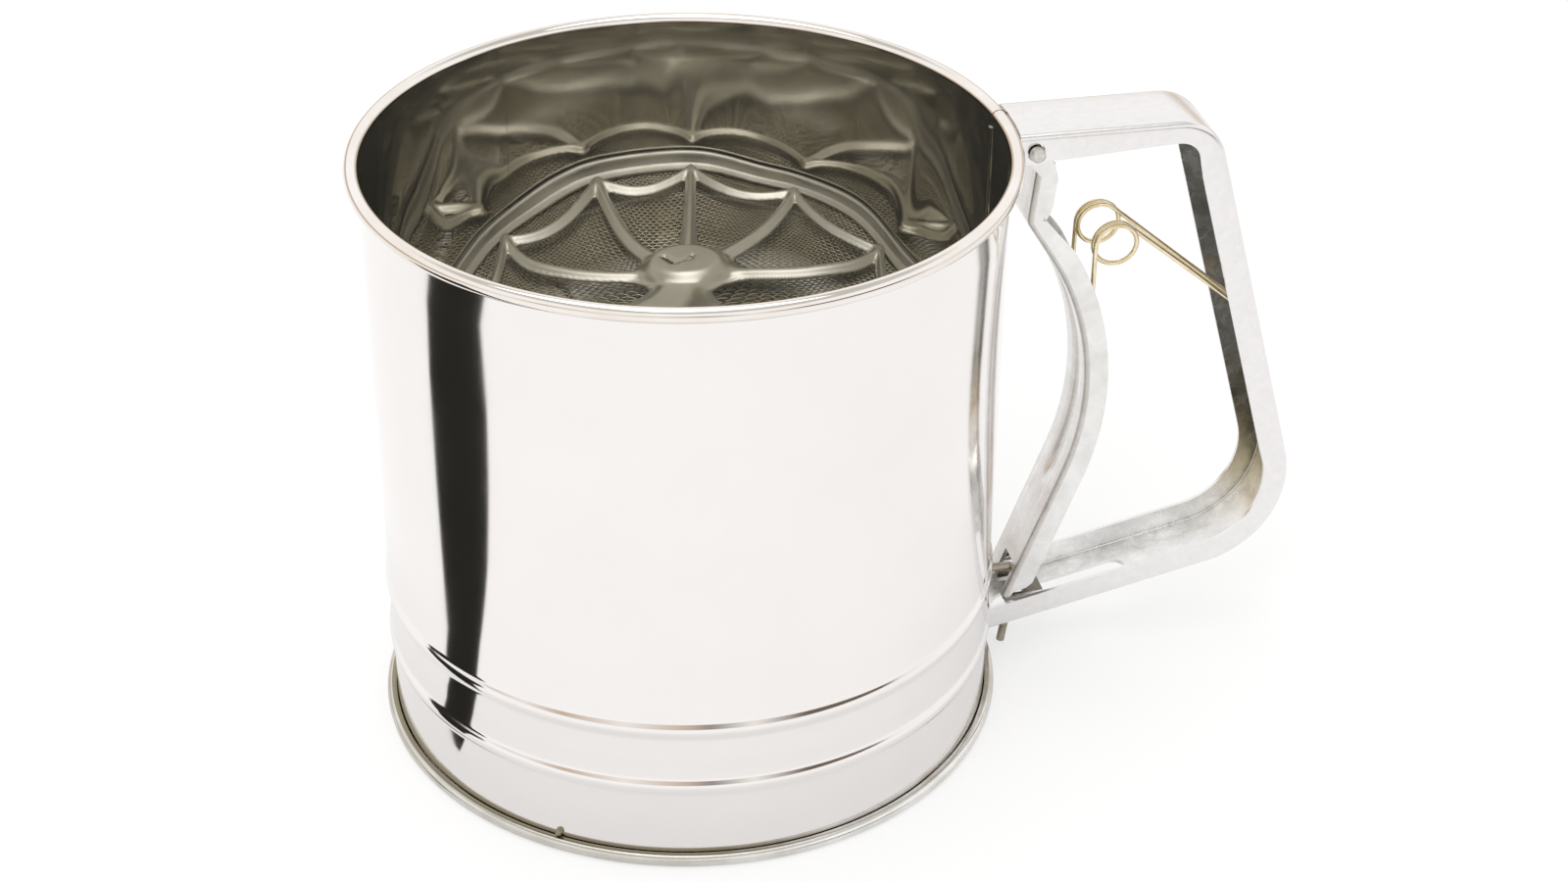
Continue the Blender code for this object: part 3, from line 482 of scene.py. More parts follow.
cup_outside = polished(
    "cup_outside", bright=(0.872, 0.842, 0.830), dull=(0.857, 0.825, 0.813), gloss=0.07, haze=0.11,
    rings=900, waves=14, ring_depth=0.0000012, wave_depth=0.00002,
)
cup_inside = polished(
    "cup_inside", bright=(0.66, 0.64, 0.575), dull=(0.58, 0.56, 0.49), gloss=0.008, haze=0.024,
    rings=700, waves=44, ring_depth=0.0000002, wave_depth=0.0006, clouded=0.075, metal=0.965,
)
# The foot roll is painted duller on the cup's left, a painted shade.
foot_finish = polished(
    "foot_roll", bright=(0.91, 0.90, 0.88), dull=(0.62, 0.60, 0.55), gloss=0.14, haze=0.28,
    rings=900, waves=90, ring_depth=0.000002, wave_depth=0.00004, left_shade=0.4,
)
rim_finish = polished(
    "rim_roll", bright=(0.875, 0.84, 0.815), dull=(0.80, 0.73, 0.655), gloss=0.05, haze=0.11,
    rings=900, waves=60, ring_depth=0.0000012, wave_depth=0.00003,
)
# The crevice between the foot roll and the wall is painted dark olive, darkest on the cup's left:
# painted shade in the crevice.
crevice_shade_finish = polished(
    "foot_crevice_shade", bright=(0.80, 0.79, 0.77), dull=(0.30, 0.27, 0.19), gloss=0.18, haze=0.32,
    rings=900, waves=90, ring_depth=0.000002, wave_depth=0.00004, left_shade=0.8,
)


def cup_finish_at(off_axis, height):
    """Finish of the cup's sheet at a distance from its axis and a height, in millimetres."""
    if off_axis < WALL - SHEET / 2 and 2 * FOOT_ROLL < height < cup_height - RIM_ROLL:
        return cup_inside
    if off_axis > WALL - SHEET / 4 and height < FOOT_ROLL + 0.2:
        roll_middle = WALL - SHEET + FOOT_ROLL / 2
        in_crevice = height > 0.6 * FOOT_ROLL and off_axis < roll_middle + 0.3
        return crevice_shade_finish if in_crevice else foot_finish
    return rim_finish if height > cup_height - RIM_ROLL else cup_outside


cup_finishes = [cup_outside, cup_inside, foot_finish, rim_finish, crevice_shade_finish]
cup_mesh.materials.clear()
cup = show("cup", cup_mesh, cup_finishes, "frame", ["cup_body"], 50)
for face in cup_mesh.polygons:
    off_axis = hypot(face.center.x - cup_axis, face.center.y) / MM
    face.material_index = cup_finishes.index(cup_finish_at(off_axis, face.center.z / MM))

SEAM_FOOT = 36.0
seam_start, seam_end = radians(3.4), radians(4.6)
seam_corners = [
    (61.93, seam_start), (61.66, seam_start + 0.002), (61.66, seam_end - 0.004), (61.93, seam_end),
]
seam_outline = [(r * cos(a), r * sin(a)) for r, a in seam_corners]
seam_mesh = prism(seam_outline, SEAM_FOOT, cup_height - RIM_ROLL - 0.6, from_cup)
seam = show("wall_seam", seam_mesh, [cup_inside], "frame", sharp=20)


def drop_mesh(name, off_axis, turn, height, size):
    """A small rounded lump of three half sizes, in millimetres, beside the cup's wall."""
    middle = (off_axis * cos(turn), off_axis * sin(turn), height)
    mesh = bpy.data.meshes.new(name)
    lump = bmesh.new()
    bmesh.ops.create_uvsphere(lump, u_segments=20, v_segments=10, radius=1)
    for vertex in lump.verts:
        vertex.co = from_cup(*(m + c * s for m, c, s in zip(middle, vertex.co, size)))
    lump.to_mesh(mesh)
    lump.free()
    return mesh


# Marks in satin sheet: lines from the brush, a mottle, and slow stains.
brush, tie, part, given, result = effect(
    "brushed_sheet", {"Lines": 1400.0, "Mottle": 180.0}, ("Line", "Mottle", "Stain")
)
where = part("TexCoord")
comb = part("Mapping", vector_type="POINT", Scale=(0.03, 1.0, 0.03))
line_noise = part("TexNoise", Detail=3.0, Roughness=0.65)
mottle_noise = part("TexNoise", Detail=5.0, Roughness=0.6, Distortion=0.6)
stain_noise = part("TexNoise", Scale=46.0, Detail=4.0, Roughness=0.6)
tie(where.outputs["Object"], comb.inputs["Vector"])
tie(comb.outputs["Vector"], line_noise.inputs["Vector"])
tie(where.outputs["Object"], mottle_noise.inputs["Vector"])
tie(where.outputs["Object"], stain_noise.inputs["Vector"])
tie(given.outputs["Lines"], line_noise.inputs["Scale"])
tie(given.outputs["Mottle"], mottle_noise.inputs["Scale"])
tie(line_noise.outputs[0], result.inputs["Line"])
tie(mottle_noise.outputs[0], result.inputs["Mottle"])
tie(stain_noise.outputs[0], result.inputs["Stain"])


def satin(name, bright, dull, gloss, haze, lines, mottle, depth):
    """Satin sheet: brushed lines in its face and gloss, and a mottle in its colour."""
    finish, join_up, node, shader = new_material(name)
    marks = node("Group", node_tree=brush, Lines=lines, Mottle=mottle)
    tone = colour_mix(node, bright, dull)
    mottled = node("MapRange", From_Min=0.36, From_Max=0.68)
    sheen = node("MapRange", From_Min=0.3, From_Max=0.7, To_Min=gloss, To_Max=haze)
    brushed = node("Bump", Strength=1.0, Distance=depth)
    join_up(marks.outputs["Mottle"], mottled.inputs["Value"])
    join_up(mottled.outputs["Result"], tone.inputs["Factor"])
    join_up(tone.outputs[COLOUR_OUT], shader.inputs["Base Color"])
    join_up(marks.outputs["Line"], sheen.inputs["Value"])
    join_up(sheen.outputs["Result"], shader.inputs["Roughness"])
    join_up(marks.outputs["Line"], brushed.inputs["Height"])
    join_up(brushed.outputs["Normal"], shader.inputs["Normal"])
    shader.inputs["Metallic"].default_value = 1.0
    return finish


# The drop wears the crevice's painted shade, so it shows darker than the wall round it.
drop = drop_mesh("solder_drop", 62.9, radians(-124.6), 3.5, (0.8, 0.8, 0.75))
show("solder_drop", drop, [crevice_shade_finish], "frame")
# Near-black for the rim's butt joint, and painted shade in the staking marks' hollows on the hub.
gap_and_shade_finish = satin(
    "joint_gap_and_hollow_shade", bright=(0.16, 0.14, 0.12), dull=(0.07, 0.06, 0.05), gloss=0.4, haze=0.6,
    lines=400, mottle=300, depth=0.000002,
)
notch = drop_mesh("rim_butt", 63.5, radians(3.7), cup_height - 1.5, (1.66, 0.2, 1.6))
show("rim_butt", notch, [gap_and_shade_finish], "frame")


# Screen. Plain-woven stainless wire across the cup, its edge pinched in a folded hoop that snaps
# into the upper bead, with a rolled eyelet in the middle as the bearing of the agitator shaft.
WEAVE_PITCH = 1.45
WEAVE_WIRE = 0.38
WEAVE_RISE = 0.6 * WEAVE_WIRE
SCREEN_REACH = 59.4
screen_low, screen_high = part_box("screen_mesh")
screen_z = (screen_low[2] + screen_high[2]) / 2 / MM
weave = bpy.data.curves.new("screen_weave", "CURVE")
weave.dimensions = "3D"
weave.bevel_depth = WEAVE_WIRE / 2 * MM
weave.bevel_resolution = 0
weave.use_fill_caps = True
rows = int(SCREEN_REACH / WEAVE_PITCH)
for across in (False, True):
    for row in range(-rows, rows + 1):
        off = row * WEAVE_PITCH
        span = int((SCREEN_REACH ** 2 - off ** 2) ** 0.5 / WEAVE_PITCH)
        if span < 2:
            continue
        wire = weave.splines.new("POLY")
        wire.points.add(2 * span)
        for i, point in zip(range(-span, span + 1), wire.points):
            over = (i + row) % 2 == (0 if across else 1)
            along = i * WEAVE_PITCH
            x, y = (off, along) if across else (along, off)
            point.co = (*from_cup(x, y, screen_z + (WEAVE_RISE if over else -WEAVE_RISE)), 1)
screen_finish, join_up, node, shader = new_material("screen_wire")
marks = node("Group", node_tree=polish)
tone = colour_mix(node, (0.92, 0.86, 0.74), (0.66, 0.60, 0.49))
smudged = node("MapRange", From_Min=0.35, From_Max=0.65)
join_up(marks.outputs["Smudge"], smudged.inputs["Value"])
join_up(smudged.outputs["Result"], tone.inputs["Factor"])
join_up(tone.outputs[COLOUR_OUT], shader.inputs["Base Color"])
set_values(shader, Metallic=1.0, Roughness=0.31)
weave.materials.append(screen_finish)
screen = bpy.data.objects.new("screen_weave", weave)
scene.collection.objects.link(screen)
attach(screen, "frame")
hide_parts("screen_mesh")

hoop_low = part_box("screen_hoop")[0][2] / MM
hoop_line = [
    (56.7, hoop_low + 0.25), (61.0, hoop_low + 0.25), (61.2, hoop_low + 0.5), (61.2, 30.6), (61.5, 31.1),
    (61.95, 32.2), (61.7, 32.7), (61.3, 32.95), (60.8, 33.0), (60.4, 32.8), (60.35, 32.2),
    (60.35, 29.9), (60.15, 29.65), (56.7, 29.6),
]
hoop_outline = sheet_outline([Vector(spot) for spot in hoop_line], SHEET)
hoop_mesh = ring_mesh("hoop", hoop_outline, CUP_STEPS)
stamped = polished(
    "stamped_steel", bright=(0.90, 0.885, 0.86), dull=(0.80, 0.785, 0.755), gloss=0.29, haze=0.42,
    rings=300, waves=60, ring_depth=0.000002, wave_depth=0.00006,
)
hoop = show("screen_hoop_folded", hoop_mesh, [stamped], "frame", ["screen_hoop"], 60)


# Agitator wheel. One steel stamping: six ribbed arms, one of them wide, run from a domed hub to a
# rim that dips inwards between the arm tips. Two staking marks show on the dome over the shaft's end,
# painted near-black as the shade in their hollows.
ARMS = 6
FIRST_ARM = radians(15)
WIDE_ARM = 1
ARM_START, ARM_TIP = 4, 52.6
ARM_HALF, WIDE_HALF, RIM_HALF = 2.6, 3.7, 2.4
ARM_FILLET, RIM_FILLET = 3.0, 2.5
RIM_DIP = 2.2
CHORD_REACH = 46
HUB = 10.5
HUB_FOOT, HUB_FLANK, HUB_RISE = 10.0, 3.6, 2.0
RIB_BORDER, RIB_FLANK, RIB_RISE = 0.25, 1.9, 1.25
WHEEL_SHEET = 0.55
GRAIN = 0.42
FAR_OUTSIDE = -9.0
side = np.arange(-57, 57 + GRAIN, GRAIN)
grid_x, grid_y = np.meshgrid(side, side, indexing="ij")


def to_stretch(a, b, x=grid_x, y=grid_y):
    """Distance of every grid point from one straight stretch."""
    run_x, run_y = b[0] - a[0], b[1] - a[1]
    share = np.clip(((x - a[0]) * run_x + (y - a[1]) * run_y) / (run_x ** 2 + run_y ** 2), 0, 1)
    return np.hypot(x - a[0] - share * run_x, y - a[1] - share * run_y)


def blend_in(field, other, fillet):
    """Union of two inside depths with a fillet between them."""
    near = np.clip(fillet - np.abs(field - other), 0, None)
    return np.maximum(field, other) + near ** 2 / (4 * fillet)


def spoke(k):
    """Direction of one arm."""
    turn = FIRST_ARM + 2 * pi * k / ARMS
    return np.array((cos(turn), sin(turn)))


depth = HUB - np.hypot(grid_x, grid_y)
rim = np.full_like(depth, FAR_OUTSIDE)
for k in range(ARMS):
    half = WIDE_HALF if k == WIDE_ARM else ARM_HALF
    depth = blend_in(depth, half - to_stretch(spoke(k) * ARM_START, spoke(k) * ARM_TIP), ARM_FILLET)
    start, end = spoke(k) * ARM_TIP, spoke(k + 1) * ARM_TIP
    dip = (start + end) / 2 / CHORD_REACH * RIM_DIP
    bow = [start + (end - start) * s - dip * sin(pi * s) for s in np.linspace(0, 1, 11)]
    for a, b in zip(bow, bow[1:]):
        rim = np.maximum(rim, RIM_HALF - to_stretch(a, b))
depth = blend_in(depth, rim, RIM_FILLET)

# The grid's cells inside the outline are kept, and the points on their edge move out to it.
slope_x, slope_y = np.gradient(depth, GRAIN)
steep = np.maximum(np.hypot(slope_x, slope_y), 0.5)
inside = depth > 0.02
cells = inside[:-1, :-1] & inside[1:, :-1] & inside[1:, 1:] & inside[:-1, 1:]
used = np.zeros_like(inside)
full = np.ones_like(inside)
for shift_x, shift_y in ((0, 0), (1, 0), (1, 1), (0, 1)):
    window = (slice(shift_x, shift_x + cells.shape[0]), slice(shift_y, shift_y + cells.shape[1]))
    used[window] |= cells
    full[window] &= cells
edge = used & ~full
move = np.where(edge, np.clip(depth, 0, 1.2) / steep, 0)
flat_x = grid_x - slope_x / steep * move
flat_y = grid_y - slope_y / steep * move
rise = np.clip((np.where(edge, 0, depth) - RIB_BORDER) / RIB_FLANK, 0, 1)
hub_share = np.clip((HUB_FOOT - np.hypot(flat_x, flat_y)) / HUB_FLANK, 0, 1)
height = RIB_RISE * rise ** 2 * (3 - 2 * rise) + HUB_RISE / 2 * (1 - np.cos(pi * hub_share))
# The staking marks are sunk into the dome, and the two deeper ones are painted near-black: painted shade
# in their hollows.
staking_shade = np.zeros_like(inside)
for start, end, width, sunk, open_mark in (
    ((3.9, -1.7), (2.2, 1.5), 0.7, 0.6, True),
    ((2.2, 1.5), (-0.6, 0.9), 0.45, 0.1, False),
    ((-0.8, 0.7), (-1.9, -1.1), 0.5, 0.5, True),
):
    gap = to_stretch(start, end, flat_x, flat_y) / width
    height -= sunk * np.exp(-(gap ** 2))
    if open_mark:
        staking_shade |= gap < 0.7
number = np.full(inside.shape, -1)
number[used] = np.arange(used.sum())
wheel_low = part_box("agitator_wheel")[0][2] / MM
wheel_spots = zip(flat_x[used], flat_y[used], height[used])
wheel_points = [from_cup(x, y, wheel_low + WHEEL_SHEET + z) for x, y, z in wheel_spots]
corners = (number[:-1, :-1], number[1:, :-1], number[1:, 1:], number[:-1, 1:])
wheel_faces = np.stack([corner[cells] for corner in corners], axis=1).tolist()
wheel_mesh = bpy.data.meshes.new("agitator_stamping")
wheel_mesh.from_pydata(wheel_points, [], wheel_faces)
wheel = show("agitator_stamping", wheel_mesh, [stamped, gap_and_shade_finish], "agitator", ["agitator_wheel"], 60)
wheel_mesh.polygons.foreach_set("material_index", staking_shade[:-1, :-1][cells].astype(np.int32))
wheel_sheet = wheel.modifiers.new("sheet", "SOLIDIFY")
wheel_sheet.thickness = WHEEL_SHEET * MM
wheel_sheet.offset = -1


# Drive. Shaft, washer, lever, spacer and push nut turn with the wheel, carried by the eyelet in the
# screen and the bridge bar under it. All are plain turned or stamped steel and show as their solids.
DRIVE_PIECES = (
    "agitator_shaft", "wheel_washer", "drive_lever", "lever_spacer",
    "shaft_push_nut", "screen_eyelet", "bridge_bar",
)
for name in DRIVE_PIECES:
    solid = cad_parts[name]
    solid.data.materials.clear()
    solid.data.materials.append(stamped)


# Handle. A U channel of satin sheet bent round the hand, open on the inside, welded to the cup at
# both ends, drilled for the trigger's pin and slotted in its lower leg for the link's end.
# The outside is brushed along its length; the inside is unpolished, stained and mottled, and painted
# with light and shade by height: light on the lower leg, darker up the grip.
HANDLE_SHEET = 0.8
HANDLE_WIDTH, HANDLE_EDGE = 16.4, 1.2
HANDLE_TOP = cup_height - 0.2
TOP_CORNER = Vector((104.65, HANDLE_TOP))
LOW_CORNER = Vector((133.2, 23.8))
LEG_END = Vector((62.5, 7.3))
PIN = Vector((67.6, HANDLE_TOP - 3.6))
PIN_HOLE = 1.85
HOLE_REACH = 12
SLOT_HALF, SLOT_SIDE = 3.15, -1.15
SLOT_NEAR, SLOT_FAR = 69.15, 92.45
handle_outside = satin(
    "handle_outside", bright=(0.862, 0.842, 0.836), dull=(0.815, 0.80, 0.795), gloss=0.2, haze=0.3,
    lines=1400, mottle=520, depth=0.0000015,
)


def stained_and_shaded(name, shade_zones, light, dark):
    """Unpolished sheet whose colour goes by height, from foot to top, as painted light and shade, under
    a mottle and smears of its own stains.
    """
    finish, join_up, node, shader = new_material(name)
    marks = node("Group", node_tree=brush, Mottle=300)
    place_in = node("TexCoord")
    split_place = node("SeparateXYZ")
    up_share = node("MapRange", From_Max=cup_high.z)
    zone = node("ValToRGB")
    ramp(zone, [(height * MM / cup_high.z, tone) for height, tone in shade_zones])
    both = node("Math", operation="MULTIPLY")
    smear = node("MapRange", From_Min=0.12, From_Max=0.42)
    shade = colour_mix(node, (dark, dark, dark), (light, light, light))
    tone = node("Mix", data_type="RGBA", blend_type="MULTIPLY", Factor=1.0)
    sheen = node("MapRange", From_Min=0.3, From_Max=0.7, To_Min=0.16, To_Max=0.34)
    join_up(place_in.outputs["Object"], split_place.inputs[0])
    join_up(split_place.outputs["Z"], up_share.inputs["Value"])
    join_up(up_share.outputs["Result"], zone.inputs["Fac"])
    join_up(marks.outputs["Mottle"], both.inputs[0])
    join_up(marks.outputs["Stain"], both.inputs[1])
    join_up(both.outputs["Value"], smear.inputs["Value"])
    join_up(smear.outputs["Result"], shade.inputs["Factor"])
    join_up(zone.outputs["Color"], tone.inputs[COLOUR_A])
    join_up(shade.outputs[COLOUR_OUT], tone.inputs[COLOUR_B])
    join_up(tone.outputs[COLOUR_OUT], shader.inputs["Base Color"])
    join_up(marks.outputs["Mottle"], sheen.inputs["Value"])
    join_up(sheen.outputs["Result"], shader.inputs["Roughness"])
    set_values(shader, Metallic=1.0, Specular_Tint=(0.5, 0.5, 0.48, 1))
    return finish


# Painted light and shade inside the grip: near-white on the lower leg, darker up the inner web.
grip_shade_zones = [
    (20, (0.93, 0.925, 0.915)),
    (27, (0.88, 0.855, 0.80)),
    (34, (0.74, 0.69, 0.56)),
    (44, (0.60, 0.575, 0.50)),
    (58, (0.57, 0.565, 0.54)),
    (96, (0.60, 0.595, 0.57)),
    (116, (0.66, 0.655, 0.64)),
    (122, (0.70, 0.695, 0.68)),
]
handle_inside = stained_and_shaded("handle_inside", grip_shade_zones, light=1.12, dark=0.72)


def corner_arc(before, corner, after, radius, step):
    """Points of the arc that rounds one corner of a path."""
    to_before = (before - corner).normalized()
    to_after = (after - corner).normalized()
    turn = pi - to_before.angle(to_after)
    reach = radius * tan(turn / 2)
    centre = corner + (to_before + to_after).normalized() * radius / cos(turn / 2)
    start = corner + to_before * reach - centre
    end = corner + to_after * reach - centre
    count = max(2, ceil(turn / step))
    angles = [turn * i / count for i in range(count + 1)]
    return [centre + (start * sin(turn - a) + end * sin(a)) / sin(turn) for a in angles]


def rounded_path(points, radii, step, spacing):
    """Open path with rounded corners, and points no further apart than the spacing."""
    path = [points[0]]
    for before, corner, after, radius in zip(points, points[1:], points[2:], radii):
        path += corner_arc(before, corner, after, radius, step)
    path.append(points[-1])
    even = [path[0]]
    for a, b in zip(path, path[1:]):
        count = max(1, ceil((b - a).length / spacing))
        even += [a + (b - a) * (i / count) for i in range(1, count + 1)]
    return even


def eased(distance, stops):
    """Value at a distance along a path, curving gently between (distance, value) stops."""
    for (start, low), (end, high) in zip(stops, stops[1:]):
        if distance <= end:
            share = max(0.0, (distance - start) / (end - start))
            return low + (high - low) * share * share * (3 - 2 * share)
    return stops[-1][1]


FLANGE_STEPS, CORNER_STEPS = 3, 5


def channel_section(width, edge, depth, web=()):
    """Flange, rounded corner, web and mirrored corner and flange of a channel, as (side, depth)."""
    half = width / 2
    turns = [pi / 2 * i / CORNER_STEPS for i in range(CORNER_STEPS + 1)]
    corner = [(-half + edge * (1 - cos(a)), edge * (1 - sin(a))) for a in turns]
    left = [(-half, depth + (edge - depth) * i / FLANGE_STEPS) for i in range(FLANGE_STEPS)] + corner
    return left + list(web) + [(-across, deep) for across, deep in left][::-1]


def channel(name, path, section, inside_left, thickness, finishes):
    """Bent channel of sheet along an upright path, in millimetres.

    The finishes are those of its flat outside and inside, then of its corners' outside and inside."""
    mesh = bpy.data.meshes.new(name)
    body = bmesh.new()
    rows = []
    distance = 0.0
    for i, (point, normal) in enumerate(zip(path, side_normals(path))):
        distance += (point - path[i - 1]).length if i else 0.0
        inward = normal if inside_left else -normal
        spots = [(point + inward * depth, across) for across, depth in section(distance)]
        rows.append([body.verts.new(from_cup(spot.x, across, spot.y)) for spot, across in spots])
    for row, following in zip(rows, rows[1:]):
        for j in range(len(row) - 1):
            corners = [row[j], following[j], following[j + 1], row[j + 1]]
            face = body.faces.new(corners[::-1] if inside_left else corners)
            from_edge = min(j, len(row) - 2 - j)
            rounded = FLANGE_STEPS <= from_edge < FLANGE_STEPS + CORNER_STEPS
            face.material_index = 2 if rounded else 0
    body.to_mesh(mesh)
    body.free()
    for finish in finishes:
        mesh.materials.append(finish)
    blank = bpy.data.objects.new(name, mesh)
    wall = blank.modifiers.new("sheet", "SOLIDIFY")
    wall.thickness = thickness * MM
    wall.offset = -1
    wall.use_even_offset = True
    wall.material_offset = 1
    return blank


def across_handle(u, v, level):
    """Place of an upright outline's point at a level across the handle."""
    return from_cup(u, level, v)


def pin_hole():
    """Cutter of the hole for the trigger's pin."""
    return prism(arc(PIN, PIN_HOLE, 0, 2 * pi, 32)[:-1], -HOLE_REACH, HOLE_REACH, across_handle)


handle_depths = [(0, 6.7), (7, 5.7), (37, 4.3), (53, 5.5), (400, 5.5)]


def handle_section(distance):
    """Section of the handle at a distance along it."""
    return channel_section(HANDLE_WIDTH, HANDLE_EDGE, eased(distance, handle_depths))


leg_rise = (LOW_CORNER.y - LEG_END.y) / (LOW_CORNER.x - LEG_END.x)
leg_tip = LEG_END - Vector((1, leg_rise)) * 0.5
handle_corners = [Vector((62.0, HANDLE_TOP)), TOP_CORNER, LOW_CORNER, leg_tip]
handle_path = rounded_path(handle_corners, [10.5, 21.0], radians(4), 4.0)
handle_finishes = [handle_outside, handle_inside, handle_outside, handle_inside]
handle_blank = channel("handle", handle_path, handle_section, False, HANDLE_SHEET, handle_finishes)
under_rim = cup_height - RIM_ROLL
envelope = [(0.5, 130), (64.85, 130), (64.85, under_rim), (62.55, under_rim), (62.55, -5), (0.5, -5)]
handle_mesh = subtract(handle_blank, ring_mesh("envelope", envelope, 180))
handle_mesh = subtract(handle_mesh, pin_hole())
slot_outline = arc((SLOT_FAR, SLOT_SIDE), SLOT_HALF, -pi / 2, pi / 2, 14)
slot_outline += arc((SLOT_NEAR, SLOT_SIDE), SLOT_HALF, pi / 2, 3 * pi / 2, 14)
handle_mesh = subtract(handle_mesh, prism(slot_outline, 0, 18, from_cup))
handle = show("handle_channel", handle_mesh, [], "frame", ["handle"], 42)


# Trigger. A lighter channel that bows towards the grip, with its web towards the cup, ears round
# the pin, a long groove pressed into the web, and a slotted foot that takes the link's bent end.
TRIGGER_SHEET = 0.9
TRIGGER_WIDTH, TRIGGER_EDGE = 13.4, 1.0
GROOVE_HALF, GROOVE_DEPTH, GROOVE_STEPS = 2.6, 1.1, 12
KINK_AT = 13.4
FOOT_LENGTH = 10.0
EAR = 2.55
trigger_outside = satin(
    "trigger_outside", bright=(0.86, 0.85, 0.835), dull=(0.74, 0.735, 0.72), gloss=0.22, haze=0.36,
    lines=1100, mottle=210, depth=0.000004,
)
# Painted shadow: the trigger's inside is near-black low down, round its foot and the link's slot.
trigger_shade_zones = [
    (13, (0.20, 0.18, 0.15)),
    (21, (0.30, 0.28, 0.25)),
    (32, (0.68, 0.67, 0.65)),
    (124, (0.72, 0.715, 0.70)),
]
trigger_inside = stained_and_shaded("trigger_inside", trigger_shade_zones, light=1.1, dark=0.8)
# The channel's rounded corners are painted darker than its faces, a painted shade along them.
trigger_corner_shade = satin(
    "trigger_corner_shade", bright=(0.66, 0.64, 0.61), dull=(0.56, 0.54, 0.51), gloss=0.24, haze=0.36,
    lines=1100, mottle=420, depth=0.000003,
)
foot_start = Vector((66.1, 12.86))
trigger_corners = [
    PIN + Vector((1.1, -3.1)),
    PIN + Vector((-0.3, -16.5)),
    PIN + Vector((20.3, -49.3)),
    foot_start,
    foot_start + Vector((FOOT_LENGTH, 0.9)),
]
trigger_path = rounded_path(trigger_corners, [3.0, 58.0, 1.4], radians(2.5), 1.6)
trigger_length = sum((b - a).length for a, b in zip(trigger_path, trigger_path[1:]))
foot_at = trigger_length - FOOT_LENGTH
trigger_depths = [
    (0, 3.4),
    (KINK_AT / 4, 4.5),
    (KINK_AT * 0.7, 4.5),
    (KINK_AT, 3.4),
    (KINK_AT * 2, 4.9),
    (foot_at - 5.0, 4.9),
    (foot_at - 1.4, 1.3),
    (trigger_length, 1.3),
]
groove_stops = [
    (KINK_AT + 8, 0.0),
    (KINK_AT + 18, GROOVE_DEPTH),
    (foot_at - 34, GROOVE_DEPTH),
    (foot_at - 26, 0.0),
]


def trigger_section(distance):
    """Section of the trigger at a distance along it, with the groove in its web."""
    sunk = eased(distance, groove_stops)
    stations = [2 * i / GROOVE_STEPS - 1 for i in range(GROOVE_STEPS + 1)]
    groove = [(GROOVE_HALF * s, sunk * (1 + cos(pi * s)) / 2) for s in stations]
    return channel_section(TRIGGER_WIDTH, TRIGGER_EDGE, eased(distance, trigger_depths), groove)


trigger_finishes = [trigger_outside, trigger_inside, trigger_corner_shade, trigger_inside]
trigger_blank = channel("trigger", trigger_path, trigger_section, True, TRIGGER_SHEET, trigger_finishes)
web_slot = [(66.46, -4.5), (71.9, -4.5), (71.9, 1.7), (66.46, 1.7)]
trigger_mesh = subtract(trigger_blank, prism(web_slot, 11, 21.7, from_cup))
trigger = show("trigger_channel", trigger_mesh, [], "trigger", ["trigger"], 42)
ear_edge = [(1.55, -6.0), (4.45, -6.0), (4.35, -3.6), (3.7, -2.3), (2.7, -0.9)]
ear_outline = arc(PIN, EAR, radians(5), radians(215), 20) + [PIN + Vector(spot) for spot in ear_edge]
for name, face in (("trigger_ear_front", -6.73), ("trigger_ear_back", 5.83)):
    ear_mesh = subtract(prism(ear_outline, face, face + TRIGGER_SHEET, across_handle), pin_hole())
    show(name, ear_mesh, [trigger_outside], "trigger", sharp=30)


# Pin and link. The pin is a plain bright rivet with rounded ends. The link is one brown-dull wire,
# hooked down through the lever's eye inside, led straight through the wall and bent down through
# the trigger's foot.
PIN_SIDES = 32
LEVER = 30
LEVER_TURN = pi / 2 + radians(45.9) / 2
LINK_WIRE = 1.8
LINK_SIDE = -3.0
LINK_LEVEL = 20.3


def wire_mesh(name, path, diameter, sides):
    """Round wire along a path in millimetres, closed at both ends."""
    curve = bpy.data.curves.new(name, "CURVE")
    curve.dimensions = "3D"
    curve.bevel_depth = diameter / 2 * MM
    curve.bevel_resolution = sides
    curve.use_fill_caps = True
    spline = curve.splines.new("POLY")
    spline.points.add(len(path) - 1)
    for point, target in zip(path, spline.points):
        target.co = (*from_cup(*point), 1)
    mesh = as_made(bpy.data.objects.new(name, curve))
    weld = bmesh.new()
    weld.from_mesh(mesh)
    bmesh.ops.remove_doubles(weld, verts=weld.verts, dist=0.000002)
    bmesh.ops.recalc_face_normals(weld, faces=weld.faces)
    weld.to_mesh(mesh)
    weld.free()
    return mesh


wire_finish = satin(
    "bright_wire", bright=(0.70, 0.685, 0.65), dull=(0.46, 0.445, 0.41), gloss=0.16, haze=0.28,
    lines=900, mottle=300, depth=0.000002,
)
pin_rings = [(1.1, 10.12), (1.4, 9.9), (1.5, 9.5)]
pin_rings += [(radius, -end) for radius, end in pin_rings[::-1]]
pin_turns = [2 * pi * k / PIN_SIDES for k in range(PIN_SIDES)]
pin_points = []
for radius, end in pin_rings:
    pin_points += [from_cup(PIN.x + radius * cos(a), end, PIN.y + radius * sin(a)) for a in pin_turns]
pin_faces = [tuple(range(PIN_SIDES)), tuple(range(len(pin_points) - PIN_SIDES, len(pin_points)))]
for ring in range(0, len(pin_points) - PIN_SIDES, PIN_SIDES):
    for k in range(PIN_SIDES):
        i = (k + 1) % PIN_SIDES
        pin_faces.append((ring + k, ring + i, ring + PIN_SIDES + i, ring + PIN_SIDES + k))
pin_mesh = closed_mesh("pin", pin_points, pin_faces)
show("pin_rivet", pin_mesh, [wire_finish], "trigger", ["trigger_pin"], 35)

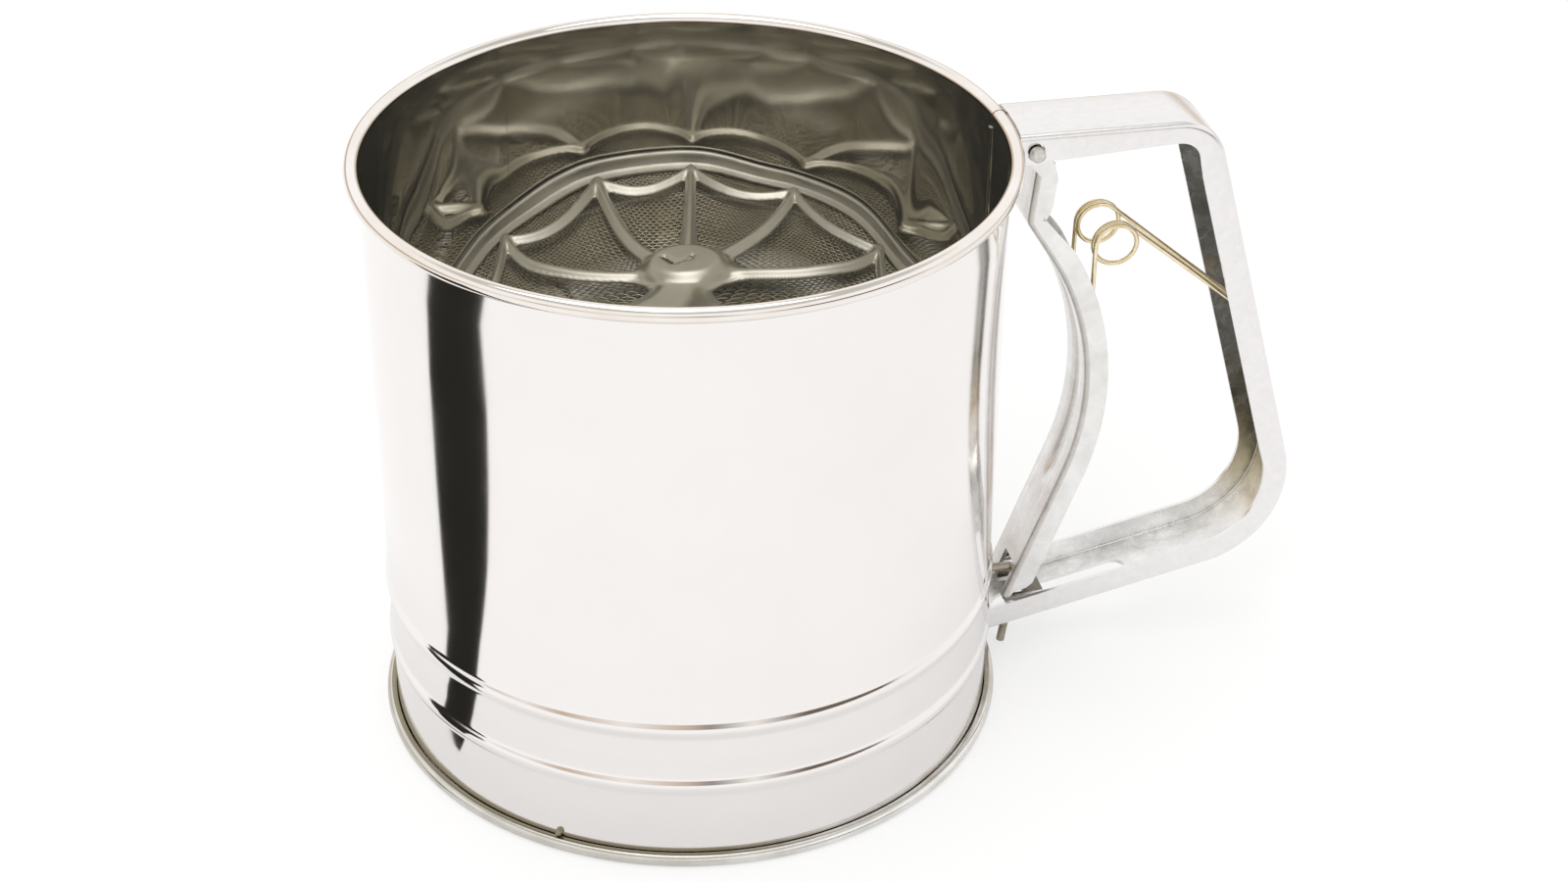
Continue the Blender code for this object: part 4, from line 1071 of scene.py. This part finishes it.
link_finish = satin(
    "dull_wire", bright=(0.50, 0.455, 0.37), dull=(0.25, 0.22, 0.17), gloss=0.2, haze=0.34,
    lines=900, mottle=300, depth=0.000002,
)
eye_x, eye_y = LEVER * cos(LEVER_TURN), LEVER * sin(LEVER_TURN)
link_points = [
    Vector((eye_x, eye_y, 15.85)),
    Vector((eye_x, eye_y, LINK_LEVEL)),
    Vector((34.0, LINK_SIDE, LINK_LEVEL)),
    Vector((70.6, LINK_SIDE, LINK_LEVEL)),
    Vector((67.8, LINK_SIDE, 1.0)),
]
link_path = rounded_path(link_points, [2.2, 6.0, 2.2], radians(9), 30)
link_mesh = wire_mesh("link", link_path, LINK_WIRE, 4)
show("link_wire", link_mesh, [link_finish], "link", ["link_rod"], 50)


# Return spring. One gold-tinted wire wound into two coils: a leg of each bears in the trigger's
# channel, and the long legs run back to a cross piece that bears inside the grip.
SPRING_WIRE = 1.0
COIL = 4.4
COIL_PITCH = 1.54
COIL_STEPS = 72
LEG_SIDE, LEG_LENGTH, LEG_STEPS = 4.9, 15.0, 6
CROSS_HALF, CROSS_BEND = 1.9, 1.1
SEAT_DROP = 46.6
SEAT_GAP = 0.35
coil_centre = PIN + Vector((18.4, -23.5))
grip_lean = (LOW_CORNER.x - TOP_CORNER.x) / (HANDLE_TOP - LOW_CORNER.y)
grip_inside = TOP_CORNER.x + SEAT_DROP * grip_lean - HANDLE_SHEET * hypot(1, grip_lean)
grip_rest = Vector((grip_inside - SEAT_GAP - SPRING_WIRE / 2, HANDLE_TOP - SEAT_DROP))
to_grip = grip_rest - coil_centre
leave = atan2(to_grip.y, to_grip.x) + atan2((to_grip.length ** 2 - COIL ** 2) ** 0.5, COIL)
coil_turn = pi - leave + 2 * pi


def spring_half(hand):
    """Points of one coil with its trigger leg, up to the end of its grip leg."""
    middle = coil_centre + Vector((-0.65, 0.6)) * hand
    drops = [LEG_LENGTH * (1 - i / LEG_STEPS) for i in range(LEG_STEPS)]
    points = [Vector((middle.x - COIL, hand * LEG_SIDE, middle.y - drop)) for drop in drops]
    for i in range(COIL_STEPS + 1):
        wound = coil_turn * i / COIL_STEPS
        spot = middle + Vector((cos(pi - wound), sin(pi - wound))) * COIL
        points.append(Vector((spot.x, hand * (LEG_SIDE - COIL_PITCH * wound / (2 * pi)), spot.y)))
    return points + [Vector((grip_rest.x, hand * CROSS_HALF, grip_rest.y))]


near_half = spring_half(-1)
far_half = spring_half(1)[::-1]
bend = rounded_path(near_half[-2:] + far_half[:2], [CROSS_BEND, CROSS_BEND], radians(12), 3)
spring_mesh = wire_mesh("spring", near_half[:-1] + bend[1:-1] + far_half[1:], SPRING_WIRE, 4)
gold = satin(
    "gold_wire", bright=(0.90, 0.80, 0.58), dull=(0.74, 0.60, 0.36), gloss=0.06, haze=0.13,
    lines=700, mottle=240, depth=0.000002,
)
spring_mesh.materials.append(gold)
spring_mesh.shade_smooth()
spring = bpy.data.objects.new("spring_wire", spring_mesh)
scene.collection.objects.link(spring)
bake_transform(spring)
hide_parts("return_spring")
